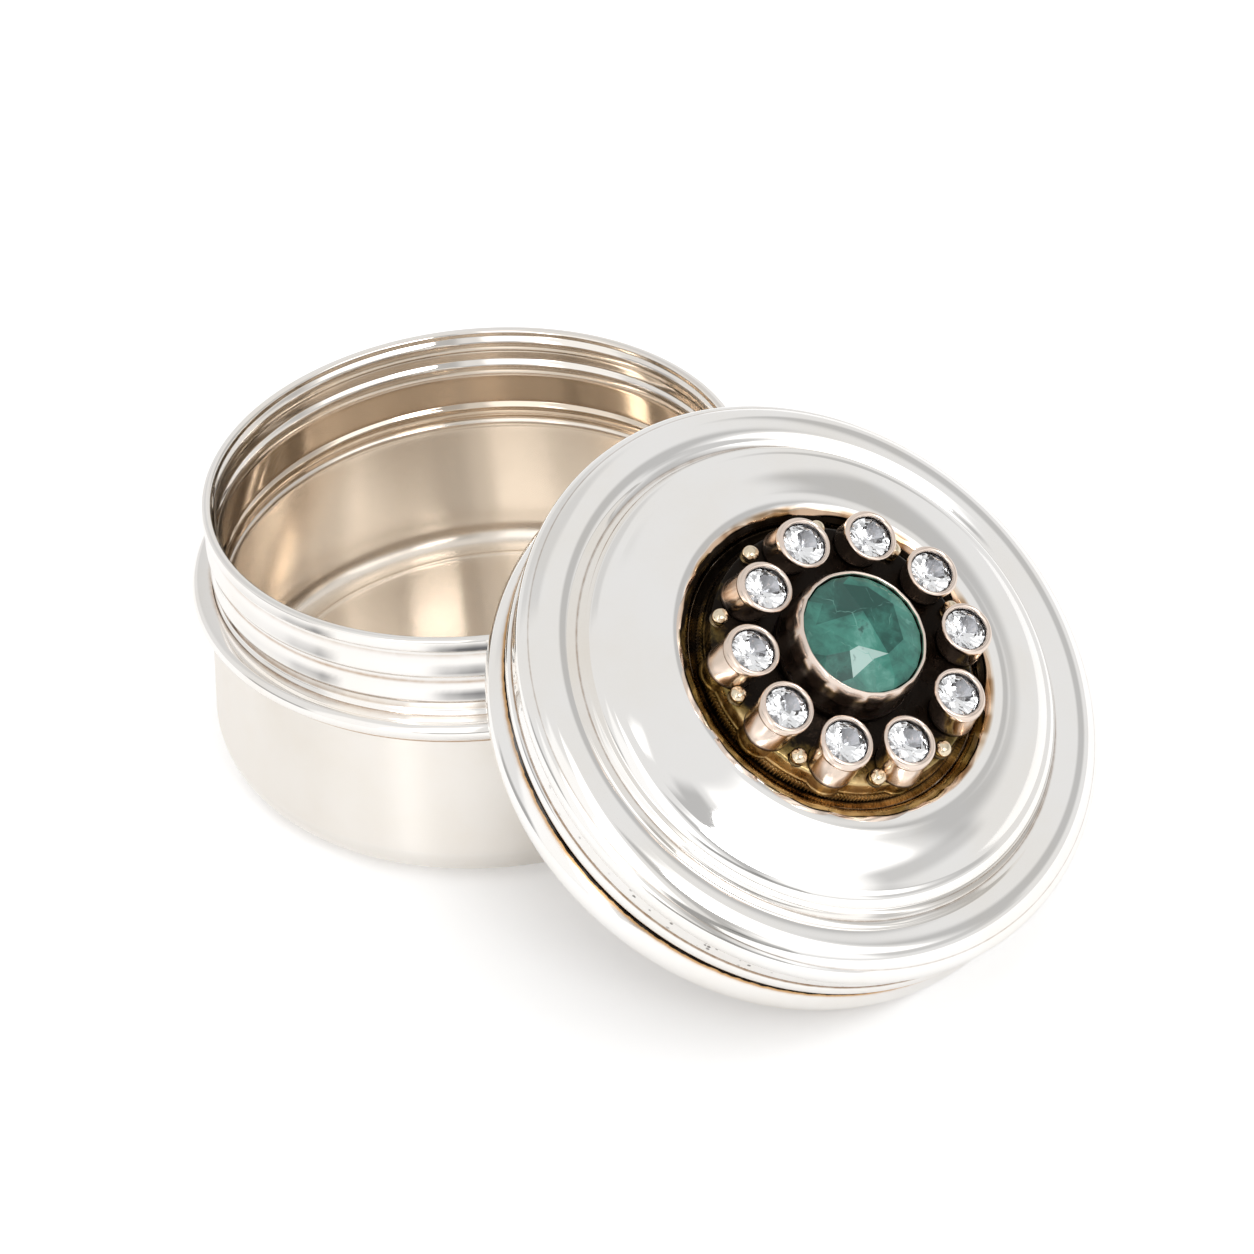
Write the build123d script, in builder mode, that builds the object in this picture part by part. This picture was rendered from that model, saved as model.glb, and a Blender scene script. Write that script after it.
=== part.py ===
from build123d import *
import math
import os

os.makedirs("parts", exist_ok=True)

# Cup: a spun bowl, a rolled neck and a beaded shoulder ring (millimetres)
neck_radius = 29.0
neck_height = 11.8
neck_wall = 1.1
rim_crown_height = 0.3
groove_count = 3
ridge_count = 2
groove_pitch = 3.2
first_groove_depth = 2.2
groove_width = 1.7
groove_floor_width = 0.9
groove_depth = 0.35
bowl_height = 19.0
bowl_wall = 0.95
bowl_mouth_width = 0.4
bowl_mouth_height = 1.1
belly_flare_width = 1.4
belly_corner_radius = 4.4
bead_height = 2.0
bead_width = 2.29
bead_bulge_depth = 0.7
lip_height = 0.4
lip_ledge_width = 1.45

# Clearances: a soldered seat, the lid on the neck and the lid's lean on the rim
seat_gap = 0.02
neck_clearance = 0.25
lean_gap = 0.24

# Lid: hoop, sleeve and the stepped, domed shell
collar_wall = 0.55
collar_height = 8.6
hoop_height = 4.7
hoop_edge_wall = 0.32
hoop_bulge_depth = 0.45
hoop_gap = 0.75
foot_height = 1.45
foot_bulge_depth = 0.2
band_height = 2.45
band_wall = 0.63
edge_height = 2.65
edge_overhang_width = 0.82
ring_width = 4.2
ring_height = 1.25
ring_drop_height = 0.45
cove_width = 1.1
cove_depth = 0.2
dome_foot_height = 0.55
dome_height = 3.7
dome_shoulder_height = 1.75
dome_swell_height = 0.25
crest_width = 3.2
crest_drop_height = 1.45
recess_depth = 2.75
shell_wall = 0.85

# Setting: ten leaning tubes with stones and granules round one large collet
plate_thickness = 1.2
plate_step_height = 1.8
plate_step_width = 1.7
plate_ledge_width = 0.1
recess_margin_width = 0.9
dish_thickness = 0.8
dish_rim_width = 0.5
setting_count = 10
setting_turn = 6.4
tube_radius = 2.75
tube_wall = 0.55
tube_height = 3.95
tube_foot_radius = 2.1
tube_ring_radius = 12.2
tube_lean_width = 0.95
tube_floor_height = 0.2
tube_out_shifts = [0.75, 0.35, -0.43, -0.98, 0.28, 0.37, 0.14, 0.03, 0.04, 0.74]
tube_side_shifts = [-0.23, -0.52, -0.01, 0.45, 0.84, 0.07, -0.49, -0.89, 0.41, 0.59]
stone_sides = 12
stone_clearance = 0.04
stone_depth = 0.5
stone_girdle_height = 0.12
stone_crown_height = 0.62
stone_table_radius = 1.25
stone_pavilion_height = 1.75
stone_culet_radius = 0.15
stone_ledge_width = 0.35
granule_radius = 0.85
granule_sides = 12
granule_crown_radius = 0.3
granule_step_width = 1.1
collet_radius = 6.9
collet_wall = 0.6
collet_height = 5.1
collet_ledge_width = 0.5
gem_sides = 16
gem_depth = 0.5
gem_girdle_height = 0.25
gem_crown_height = 0.75
gem_step_radius = 5.1
gem_table_height = 0.4
gem_table_radius = 3.4
gem_pavilion_height = 3.6
gem_culet_radius = 0.8

# How the lid stands beside the cup, leaning on its rim
lid_tilt = 35.24
lid_heading = -47.0

# Sizes of the cup that follow from the fits
cup_height = bowl_height + neck_height
neck_bore = neck_radius - neck_wall
bowl_mouth_radius = neck_radius + bowl_mouth_width
belly_radius = bowl_mouth_radius + belly_flare_width
bead_base = bowl_height + lip_height
bead_middle = bead_base + bead_height / 2

# Radii of the lid that follow from the fits
lid_bore = neck_radius + neck_clearance
collar_radius = lid_bore + collar_wall
shell_bore = collar_radius + seat_gap
hoop_edge = shell_bore + hoop_edge_wall
hoop_radius = hoop_edge + hoop_bulge_depth
band_radius = shell_bore + band_wall
edge_radius = band_radius + edge_overhang_width
ring_inner = band_radius - ring_width
dome_foot = ring_inner - cove_width
plate_lobe_radius = tube_foot_radius + plate_ledge_width
plate_radius = tube_ring_radius + plate_lobe_radius
recess_radius = plate_radius + recess_margin_width
crest_radius = recess_radius + crest_width

# Heights above the lid's mouth
foot_base = hoop_height + hoop_gap
band_base = foot_base + foot_height
edge_base = band_base + band_height
edge_top = edge_base + edge_height
ring_top = edge_top + ring_height
ring_end = ring_top - ring_drop_height
dome_base = ring_end + dome_foot_height
crest_height = dome_base + dome_height
recess_floor = crest_height - recess_depth
dish_top = recess_floor + dish_thickness
step_base = dish_top + plate_thickness
plate_top = step_base + plate_step_height

# The leaning lid touches the table with its hoop and the cup's rounded rim at two points
tilt = math.radians(lid_tilt)
heading = math.radians(lid_heading)
mouth_height = hoop_edge * math.sin(tilt)
lean_rise = cup_height - rim_crown_height + lean_gap - mouth_height
lean_slope = neck_radius**2 - lid_bore**2 + (lean_rise / math.sin(tilt)) ** 2
lean_reach = lean_rise / math.tan(tilt) + math.sqrt(lean_slope)
lid_plane = Plane(
    origin=(lean_reach * math.cos(heading), lean_reach * math.sin(heading), mouth_height),
    x_dir=(-math.sin(heading), math.cos(heading), 0),
    z_dir=(
        math.sin(tilt) * math.cos(heading),
        math.sin(tilt) * math.sin(heading),
        math.cos(tilt),
    ),
)
lid_section = Plane(origin=lid_plane.origin, x_dir=lid_plane.x_dir, z_dir=-lid_plane.y_dir)
lid_axis = Axis(lid_plane.origin, lid_plane.z_dir)


def lid_point(radius, angle, height):
    """Point of the lid from its radius, its angle round the lid and its height above the mouth."""
    turn = math.radians(angle)
    return lid_plane.from_local_coords((radius * math.cos(turn), radius * math.sin(turn), height))


def tube_spot(radius, angle, out_shift, side_shift):
    """Place of a hand-set tube in the lid's plane, from its ring radius and its two shifts."""
    turn = math.radians(angle)
    reach = radius + out_shift
    return (
        reach * math.cos(turn) - side_shift * math.sin(turn),
        reach * math.sin(turn) + side_shift * math.cos(turn),
    )


def facet_slope(start_radius, end_radius, height, sides):
    """Taper of the flat facets between two many-sided outlines, from their corner radii."""
    return math.degrees(math.atan((start_radius - end_radius) * math.cos(math.pi / sides) / height))


# Bowl: flat base, tight corner, wall drawn in towards a thickened mouth
with BuildPart() as bowl:
    with BuildSketch(Plane.XZ):
        with BuildLine():
            Polyline(
                (0, bowl_wall),
                (0, 0),
                (belly_radius - belly_corner_radius, 0),
            )
            outer_corner = TangentArc(
                (belly_radius - belly_corner_radius, 0), (belly_radius, belly_corner_radius), tangent=(1, 0)
            )
            Polyline(
                outer_corner @ 1,
                (bowl_mouth_radius, bowl_height),
                (neck_bore, bowl_height),
                (neck_bore, bowl_height - bowl_mouth_height),
                (bowl_mouth_radius - bowl_wall, bowl_height - bowl_mouth_height - bowl_mouth_width),
                (belly_radius - bowl_wall, belly_corner_radius),
            )
            inner_corner = TangentArc(
                (belly_radius - belly_corner_radius, bowl_wall),
                (belly_radius - bowl_wall, belly_corner_radius),
                tangent=(1, 0),
            )
            Line(inner_corner @ 0, (0, bowl_wall))
        make_face()
    revolve(axis=Axis.Z)
bowl.part.label = "bowl"
export_step(bowl.part, "parts/bowl.step")

# Neck: rounded rim, grooves rolled in from outside and the ridges that they raise inside
groove_heights = [cup_height - first_groove_depth - groove_pitch * i for i in range(groove_count)]
ridge_heights = [bead_middle] + groove_heights[:ridge_count][::-1]
groove_half = groove_width / 2
floor_half = groove_floor_width / 2
with BuildPart() as neck_ring:
    with BuildSketch(Plane.XZ):
        with BuildLine():
            rim = ThreePointArc(
                (neck_bore, cup_height - rim_crown_height),
                (neck_radius - neck_wall / 2, cup_height),
                (neck_radius, cup_height - rim_crown_height),
            )
            land = rim @ 1
            for middle in groove_heights:
                groove = Polyline(
                    land,
                    (neck_radius, middle + groove_half),
                    (neck_radius - groove_depth, middle + floor_half),
                    (neck_radius - groove_depth, middle - floor_half),
                    (neck_radius, middle - groove_half),
                )
                land = groove @ 1
            sole = Polyline(land, (neck_radius, bowl_height), (neck_bore, bowl_height))
            land = sole @ 1
            for middle in ridge_heights:
                ridge = Polyline(
                    land,
                    (neck_bore, middle - groove_half),
                    (neck_bore - groove_depth, middle - floor_half),
                    (neck_bore - groove_depth, middle + floor_half),
                    (neck_bore, middle + groove_half),
                )
                land = ridge @ 1
            Line(land, rim @ 0)
        make_face()
    revolve(axis=Axis.Z)
neck_ring.part.label = "neck_ring"
export_step(neck_ring.part, "parts/neck_ring.step")

# Shoulder: a rounded bead over a thin lip, soldered round the foot of the neck
shoulder_bore = neck_radius + seat_gap
bead_root = neck_radius + bead_width - bead_bulge_depth
with BuildPart() as shoulder_ring:
    with BuildSketch(Plane.XZ):
        with BuildLine():
            bead = ThreePointArc(
                (bead_root, bead_base + bead_height),
                (neck_radius + bead_width, bead_middle),
                (bead_root, bead_base),
            )
            Polyline(
                bead @ 1,
                (neck_radius + lip_ledge_width, bead_base),
                (neck_radius + lip_ledge_width, bowl_height),
                (shoulder_bore, bowl_height),
                (shoulder_bore, bead_base + bead_height),
                bead @ 0,
            )
        make_face()
    revolve(axis=Axis.Z)
shoulder_ring.part.label = "shoulder_ring"
export_step(shoulder_ring.part, "parts/shoulder_ring.step")

# Lid sleeve: the inner wall that slides over the neck
with BuildPart() as lid_collar:
    with BuildSketch(lid_section):
        with BuildLine():
            Polyline(
                (lid_bore, 0),
                (collar_radius, 0),
                (collar_radius, collar_height),
                (lid_bore, collar_height),
                close=True,
            )
        make_face()
    revolve(axis=lid_axis)
lid_collar.part.label = "lid_collar"
export_step(lid_collar.part, "parts/lid_collar.step")

# Hoop: the half-round band round the sleeve's foot
with BuildPart() as lid_hoop:
    with BuildSketch(lid_section):
        with BuildLine():
            swell = ThreePointArc(
                (hoop_edge, 0), (hoop_radius, hoop_height / 2), (hoop_edge, hoop_height)
            )
            Polyline(swell @ 1, (shell_bore, hoop_height), (shell_bore, 0), swell @ 0)
        make_face()
    revolve(axis=lid_axis)
lid_hoop.part.label = "lid_hoop"
export_step(lid_hoop.part, "parts/lid_hoop.step")

# Shell: beaded foot, side band, rolled edge, convex ring, cove, dome and the lip of the recess
with BuildPart() as lid_shell:
    with BuildSketch(lid_section):
        with BuildLine():
            foot = ThreePointArc(
                (band_radius, foot_base),
                (band_radius + foot_bulge_depth, foot_base + foot_height / 2),
                (band_radius, band_base),
            )
            Line(foot @ 1, (band_radius, edge_base))
            roll = ThreePointArc(
                (band_radius, edge_base),
                (edge_radius, edge_base + edge_height * 0.4),
                (band_radius, edge_top),
            )
            ring = ThreePointArc(
                roll @ 1,
                (band_radius - ring_width * 0.45, ring_top),
                (ring_inner, ring_end),
            )
            Polyline(
                ring @ 1,
                (ring_inner - cove_width * 0.55, ring_end - cove_depth),
                (dome_foot, dome_base),
            )
            shoulder = ThreePointArc(
                (dome_foot, dome_base),
                (dome_foot - dome_shoulder_height * 0.25, dome_base + dome_shoulder_height * 0.62),
                (dome_foot - dome_shoulder_height * 0.9, dome_base + dome_shoulder_height),
            )
            dome = ThreePointArc(
                shoulder @ 1,
                (
                    (dome_foot - dome_shoulder_height * 0.9 + crest_radius) / 2,
                    (dome_base + dome_shoulder_height + crest_height) / 2 + dome_swell_height,
                ),
                (crest_radius, crest_height),
            )
            lip = ThreePointArc(
                dome @ 1,
                (recess_radius + crest_width * 0.25, crest_height - crest_drop_height * 0.25),
                (recess_radius, crest_height - crest_drop_height),
            )
            Polyline(
                lip @ 1,
                (recess_radius, recess_floor),
                (recess_radius + shell_wall, recess_floor),
                (recess_radius + shell_wall, crest_height - crest_drop_height),
                (crest_radius, crest_height - shell_wall),
                (dome_foot - dome_shoulder_height, dome_base + dome_shoulder_height - shell_wall),
                (dome_foot - shell_wall, dome_base),
                (dome_foot - shell_wall, ring_end - cove_depth - shell_wall),
                (ring_inner, ring_end - cove_depth - shell_wall),
                (band_radius - ring_width * 0.45, ring_top - shell_wall),
                (shell_bore, edge_base + edge_height * 0.55),
                (shell_bore, foot_base),
                foot @ 0,
            )
        make_face()
    revolve(axis=lid_axis)
lid_shell.part.label = "lid_shell"
export_step(lid_shell.part, "parts/lid_shell.step")

# Dish: the shallow tray that closes the recess under the setting
dish_radius = recess_radius - seat_gap
with BuildPart() as setting_dish:
    with BuildSketch(lid_section):
        with BuildLine():
            Polyline(
                (0, recess_floor),
                (dish_radius, recess_floor),
                (dish_radius, dish_top + dish_rim_width),
                (dish_radius - dish_rim_width, dish_top + dish_rim_width),
                (dish_radius - dish_rim_width, dish_top),
                (0, dish_top),
                close=True,
            )
        make_face()
    revolve(axis=lid_axis)
setting_dish.part.label = "setting_dish"
export_step(setting_dish.part, "parts/setting_dish.step")

# Plate: a disc that carries a step with a small lobe round the foot of each tube
setting_angles = [setting_turn + 360 / setting_count * i for i in range(setting_count)]
hand_set = list(zip(setting_angles, tube_out_shifts, tube_side_shifts))
with BuildPart() as setting_plate:
    with BuildSketch(lid_plane.offset(dish_top)):
        Circle(plate_radius)
    extrude(amount=plate_thickness)
    with BuildSketch(lid_plane.offset(step_base)):
        Circle(tube_ring_radius + plate_step_width)
        with Locations([tube_spot(tube_ring_radius, *place) for place in hand_set]):
            Circle(plate_lobe_radius)
    extrude(amount=plate_step_height)
setting_plate.part.label = "setting_plate"
export_step(setting_plate.part, "parts/setting_plate.step")

# Centre collet: a plain tube with a ledge under the large stone's girdle
collet_rim = plate_top + collet_height
collet_bore = collet_radius - collet_wall
gem_radius = collet_bore - stone_clearance
gem_plane = lid_plane.offset(collet_rim - gem_depth)
ledge_bore = collet_bore - collet_ledge_width
ledge_fall = gem_pavilion_height * (gem_radius - ledge_bore) / (gem_radius - gem_culet_radius)
ledge_top = collet_rim - gem_depth - gem_girdle_height - ledge_fall - seat_gap
with BuildPart() as centre_collet:
    with BuildSketch(lid_section):
        with BuildLine():
            Polyline(
                (ledge_bore, plate_top),
                (collet_radius, plate_top),
                (collet_radius, collet_rim),
                (collet_bore, collet_rim),
                (collet_bore, ledge_top),
                (ledge_bore, ledge_top),
                close=True,
            )
        make_face()
    revolve(axis=lid_axis)
centre_collet.part.label = "centre_collet"
export_step(centre_collet.part, "parts/centre_collet.step")

# Large stone: many-sided girdle, stepped crown and a faceted pavilion
gem_base = gem_plane.offset(-gem_girdle_height)
gem_pavilion_slope = facet_slope(gem_radius, gem_culet_radius, gem_pavilion_height, gem_sides)
gem_crown_slope = facet_slope(gem_radius, gem_step_radius, gem_crown_height, gem_sides)
gem_table_slope = facet_slope(gem_step_radius, gem_table_radius, gem_table_height, gem_sides)
with BuildPart() as centre_stone:
    with BuildSketch(gem_base):
        RegularPolygon(gem_radius, gem_sides)
    extrude(amount=gem_pavilion_height, taper=gem_pavilion_slope)
    mirror(about=gem_base, mode=Mode.REPLACE)
    with BuildSketch(gem_base):
        RegularPolygon(gem_radius, gem_sides)
    extrude(amount=gem_girdle_height)
    with BuildSketch(gem_plane):
        RegularPolygon(gem_radius, gem_sides)
    extrude(amount=gem_crown_height, taper=gem_crown_slope)
    with BuildSketch(gem_plane.offset(gem_crown_height)):
        RegularPolygon(gem_step_radius, gem_sides)
    extrude(amount=gem_table_height, taper=gem_table_slope)
centre_stone.part.label = "centre_stone"
export_step(centre_stone.part, "parts/centre_stone.step")

# Small stones sit in the tubes, on a conical seat that the pavilion's corners just clear
tube_bore = tube_radius - tube_wall
stone_radius = tube_bore - stone_clearance
stone_bore = tube_bore - stone_ledge_width
stone_fall = stone_pavilion_height * (stone_radius - stone_bore) / (stone_radius - stone_culet_radius)
stone_seat = stone_depth + stone_girdle_height + stone_fall + seat_gap
stone_bottom = stone_depth + stone_girdle_height + stone_pavilion_height + tube_floor_height
crown_slope = facet_slope(stone_radius, stone_table_radius, stone_crown_height, stone_sides)
pavilion_slope = facet_slope(stone_radius, stone_culet_radius, stone_pavilion_height, stone_sides)

# Granules: a ball in three bands of flats, with a flat foot and crown
granule_band = granule_radius * math.sqrt(0.5)
granule_slope = facet_slope(granule_radius, granule_band, granule_band, granule_sides)
granule_cap = granule_radius - granule_band
granule_cap_slope = facet_slope(granule_band, granule_crown_radius, granule_cap, granule_sides)

for number, (angle, out_shift, side_shift) in enumerate(hand_set, start=1):
    foot_spot = tube_spot(tube_ring_radius, angle, out_shift, side_shift)
    rim_spot = tube_spot(tube_ring_radius - tube_lean_width, angle, out_shift, side_shift)
    spoke = lid_point(1, angle, 0) - lid_plane.origin
    foot_plane = Plane(
        origin=lid_plane.from_local_coords((*foot_spot, plate_top)), x_dir=spoke, z_dir=lid_plane.z_dir
    )
    rim_plane = Plane(
        origin=lid_plane.from_local_coords((*rim_spot, plate_top + tube_height)),
        x_dir=spoke,
        z_dir=lid_plane.z_dir,
    )
    seat_section = Plane(origin=rim_plane.origin, x_dir=spoke, z_dir=-rim_plane.y_dir)

    # Tube: a tapered cup leaning in towards the collet, with a flat foot and a flat rim
    with BuildPart() as tube_setting:
        with BuildSketch(foot_plane):
            Circle(tube_foot_radius)
        with BuildSketch(rim_plane):
            Circle(tube_radius)
        loft(ruled=True)
        with BuildSketch(seat_section):
            with BuildLine():
                Polyline(
                    (0, seat_gap),
                    (tube_bore, seat_gap),
                    (tube_bore, -stone_seat),
                    (stone_bore, -stone_seat),
                    (stone_culet_radius + stone_ledge_width, -stone_bottom),
                    (0, -stone_bottom),
                    close=True,
                )
            make_face()
        revolve(axis=Axis(rim_plane.origin, rim_plane.z_dir), mode=Mode.SUBTRACT)
    tube_setting.part.label = f"tube_setting_{number:02d}"
    export_step(tube_setting.part, f"parts/tube_setting_{number:02d}.step")

    # Stone: flat table, bevelled crown, many-sided girdle and a pointed pavilion
    girdle_plane = rim_plane.offset(-stone_depth)
    pavilion_plane = girdle_plane.offset(-stone_girdle_height)
    with BuildPart() as clear_stone:
        with BuildSketch(pavilion_plane):
            RegularPolygon(stone_radius, stone_sides)
        extrude(amount=stone_pavilion_height, taper=pavilion_slope)
        mirror(about=pavilion_plane, mode=Mode.REPLACE)
        with BuildSketch(pavilion_plane):
            RegularPolygon(stone_radius, stone_sides)
        extrude(amount=stone_girdle_height)
        with BuildSketch(girdle_plane):
            RegularPolygon(stone_radius, stone_sides)
        extrude(amount=stone_crown_height, taper=crown_slope)
    clear_stone.part.label = f"clear_stone_{number:02d}"
    export_step(clear_stone.part, f"parts/clear_stone_{number:02d}.step")

    # Granule: a small ball with its foot soldered to the plate between two tubes
    granule_plane = Plane(
        origin=lid_point(tube_ring_radius + granule_step_width, angle + 180 / setting_count, plate_top),
        x_dir=lid_plane.x_dir,
        z_dir=lid_plane.z_dir,
    )
    granule_middle = granule_plane.offset(granule_band)
    with BuildPart() as granule:
        with BuildSketch(granule_middle):
            RegularPolygon(granule_radius, granule_sides)
        extrude(amount=granule_band, taper=granule_slope)
        mirror(about=granule_middle)
        with BuildSketch(granule_middle.offset(granule_band)):
            RegularPolygon(granule_band, granule_sides)
        extrude(amount=granule_cap, taper=granule_cap_slope)
    granule.part.label = f"granule_{number:02d}"
    export_step(granule.part, f"parts/granule_{number:02d}.step")
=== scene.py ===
"""A round silver box: a squat cup and its jewelled lid, which leans open on the cup's rim."""

import logging
import math
from dataclasses import dataclass, field
from enum import Enum
from typing import Any, Optional, Sequence

import bpy
import numpy as np
from mathutils import Matrix, Vector
from mathutils.geometry import delaunay_2d_cdt


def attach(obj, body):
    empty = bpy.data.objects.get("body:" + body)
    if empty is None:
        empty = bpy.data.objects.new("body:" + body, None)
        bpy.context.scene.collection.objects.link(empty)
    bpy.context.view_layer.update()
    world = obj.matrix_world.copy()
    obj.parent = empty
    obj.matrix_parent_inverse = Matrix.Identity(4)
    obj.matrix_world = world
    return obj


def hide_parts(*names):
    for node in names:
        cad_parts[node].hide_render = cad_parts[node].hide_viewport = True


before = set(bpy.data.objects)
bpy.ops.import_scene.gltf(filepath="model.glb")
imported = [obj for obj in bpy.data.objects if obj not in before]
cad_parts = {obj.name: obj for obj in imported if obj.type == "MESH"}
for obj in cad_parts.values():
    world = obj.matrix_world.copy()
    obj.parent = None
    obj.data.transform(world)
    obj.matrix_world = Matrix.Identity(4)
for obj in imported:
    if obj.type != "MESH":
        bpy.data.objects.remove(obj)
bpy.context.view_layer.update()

log = logging.getLogger("silver_box")
MM = 0.001
TAU = 2 * math.pi
DIAGONAL = math.sqrt(0.5)  # share of a radius at 45 degrees
SHORT_ARC = 61  # points on an arc of a millimetre or two
DARKEST = 1.5  # tarnish of the blackest corner
Array = np.ndarray
Colour = tuple[float, float, float]
Pair = Sequence[float]
Spots = Sequence[Sequence[float]]
Material = bpy.types.Material
Mesh = bpy.types.Mesh


class Body(Enum):
    """The two loose bodies of the box."""

    CUP = "cup"
    LID = "lid"


class Slot(Enum):
    """Finish slots of the record."""

    SATIN = "satin_silver"
    POLISHED = "polished_silver"
    OXIDISED = "oxidised_silver"
    CLEAR = "clear_stone"
    GREEN = "green_stone"


# ---------------------------------------------------------------- frames and outlines


@dataclass(frozen=True)
class Stand:
    """A right-handed frame in which a piece is worked out, in metres.

    A point is origin + x * u + y * w + z * n.
    """

    origin: Array
    u: Array
    w: Array
    n: Array

    def place(self, x: Array, y: Array, z: Array) -> Array:
        """Points of the row frame from millimetres along the three axes."""
        x, y, z = (np.asarray(v, float)[..., None] * MM for v in (x, y, z))
        return self.origin + x * self.u + y * self.w + z * self.n

    def polar(self, radius: Array, turn: Array, height: Array) -> Array:
        """Points from a radius, an angle in radians and a height, in millimetres."""
        return self.place(radius * np.cos(turn), radius * np.sin(turn), height + 0.0 * turn)

    def spoke(self, turn: Array) -> Array:
        """Outward directions at angles in radians."""
        return np.cos(turn)[..., None] * self.u + np.sin(turn)[..., None] * self.w


def turn_angles(turns: int) -> Array:
    """Angles of even steps round an axis, radians, of shape (turns, 1)."""
    return np.arange(turns)[:, None] * (TAU / turns)


def arc(first: Pair, middle: Pair, last: Pair, count: int = 121) -> Array:
    """Circle arc through three points of an outline.

    The centre solves the two equations of equal distance; the angle then runs evenly.

    Args:
        first: start (radius, height).
        middle: a point on the way.
        last: end.
        count: number of points.

    Returns:
        Points of shape (count, 2).
    """
    a, b, c = (np.array(p, float) for p in (first, middle, last))
    squares = np.array([b @ b - a @ a, c @ c - a @ a])
    centre = np.linalg.solve(2 * np.array([b - a, c - a]), squares)
    angle = np.unwrap([math.atan2(*(p - centre)[::-1]) for p in (a, b, c)])
    sweep = np.linspace(angle[0], angle[2], count)
    return centre + np.linalg.norm(a - centre) * np.stack([np.cos(sweep), np.sin(sweep)], -1)


def outline(*runs: Any) -> Array:
    """Joins points and arcs into one outline of shape (n, 2)."""
    return np.concatenate([np.atleast_2d(np.array(run, float)) for run in runs])


def run_length(profile: Array, ring: bool) -> Array:
    """Run along an outline from its first point, millimetres, closed for a ring."""
    line = np.vstack([profile, profile[:1]]) if ring else profile
    return np.r_[0.0, np.cumsum(np.linalg.norm(np.diff(line, axis=0), axis=1))]


def resample(points: Array, places: Array, wanted: Array) -> Array:
    """Points at wanted places along an outline whose points lie at the given places."""
    return np.stack([np.interp(wanted, places, column) for column in points.T], -1)


def soften(points: Array, blur: float, ring: bool, pitch: float = 0.9, bend: float = 6.0) -> Array:
    """Rounds the corners of an outline and spaces its points for the curvature.

    The outline is walked in even steps, each coordinate is averaged with a bell curve of the
    given width, and points are kept at even steps of length / pitch + turning angle / bend.

    Args:
        points: corners of the outline, millimetres.
        blur: width of the bell curve, millimetres.
        ring: True for a closed loop, False for a line with fixed ends.
        pitch: longest spacing on straight runs, millimetres.
        bend: largest turn between points, degrees.

    Returns:
        The softened outline.
    """
    fine = 5
    reach = 4 * fine
    if ring:
        area = np.cross(points, np.roll(points, -1, 0)).sum()
        points = points if area > 0 else points[::-1]
        points = np.vstack([points, points[:1]])
    keep = np.r_[True, np.linalg.norm(np.diff(points, axis=0), axis=1) > 1e-6]
    points = points[keep]
    length = run_length(points, False)
    count = int(length[-1] / (blur / fine)) + 1
    even = resample(points, length, np.linspace(0, length[-1], count))
    weight = np.exp(-0.5 * (np.arange(-reach, reach + 1) / fine) ** 2)
    weight /= weight.sum()
    if ring:
        body = even[:-1]
        padded = np.vstack([body[-reach:], body, body[: reach + 1]])
    else:
        before = 2 * even[0] - even[reach:0:-1]
        beyond = 2 * even[-1] - even[-2 : -reach - 2 : -1]
        padded = np.vstack([before, even, beyond])
    smooth = np.stack([np.convolve(column, weight, "valid") for column in padded.T], -1)
    edge = np.diff(smooth, axis=0)
    heading = np.unwrap(np.arctan2(edge[:, 1], edge[:, 0]))
    turning = np.abs(np.diff(heading, append=heading[-1]))
    share = np.linalg.norm(edge, axis=1) / pitch + turning / math.radians(bend)
    measure = np.r_[0.0, np.cumsum(share)]
    kept = resample(smooth, measure, np.linspace(0, measure[-1], int(measure[-1]) + 2))
    return kept[:-1] if ring else kept


def bell(offset: Array, width: Any) -> Array:
    """Bell curve exp(-(offset / width) ** 2)."""
    return np.exp(-((offset / width) ** 2))


def ramp(value: Array, start: float, width: float) -> Array:
    """Straight rise from 0 to 1 over a width after the start; a negative width falls to 0 at it."""
    return np.clip((value - start) / width, 0, 1)


def near(points: Array, spots: Spots) -> Array:
    """How close outline points lie to marked spots.

    Each spot (radius, height, width, strength) adds strength * exp(-(distance / width) ** 2).

    Args:
        points: outline of shape (n, 2).
        spots: marked spots.

    Returns:
        Values from 0 to 1.5 of shape (n,); above 1 the tarnish is black.
    """
    if not len(spots):
        return np.zeros(len(points))
    table = np.array(spots, float)
    distance = np.linalg.norm(points[:, None] - table[None, :, :2], axis=-1)
    return np.clip((table[:, 3] * bell(distance, table[:, 2])).sum(1), 0, DARKEST)


# ---------------------------------------------------------------- surfaces into meshes


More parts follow.
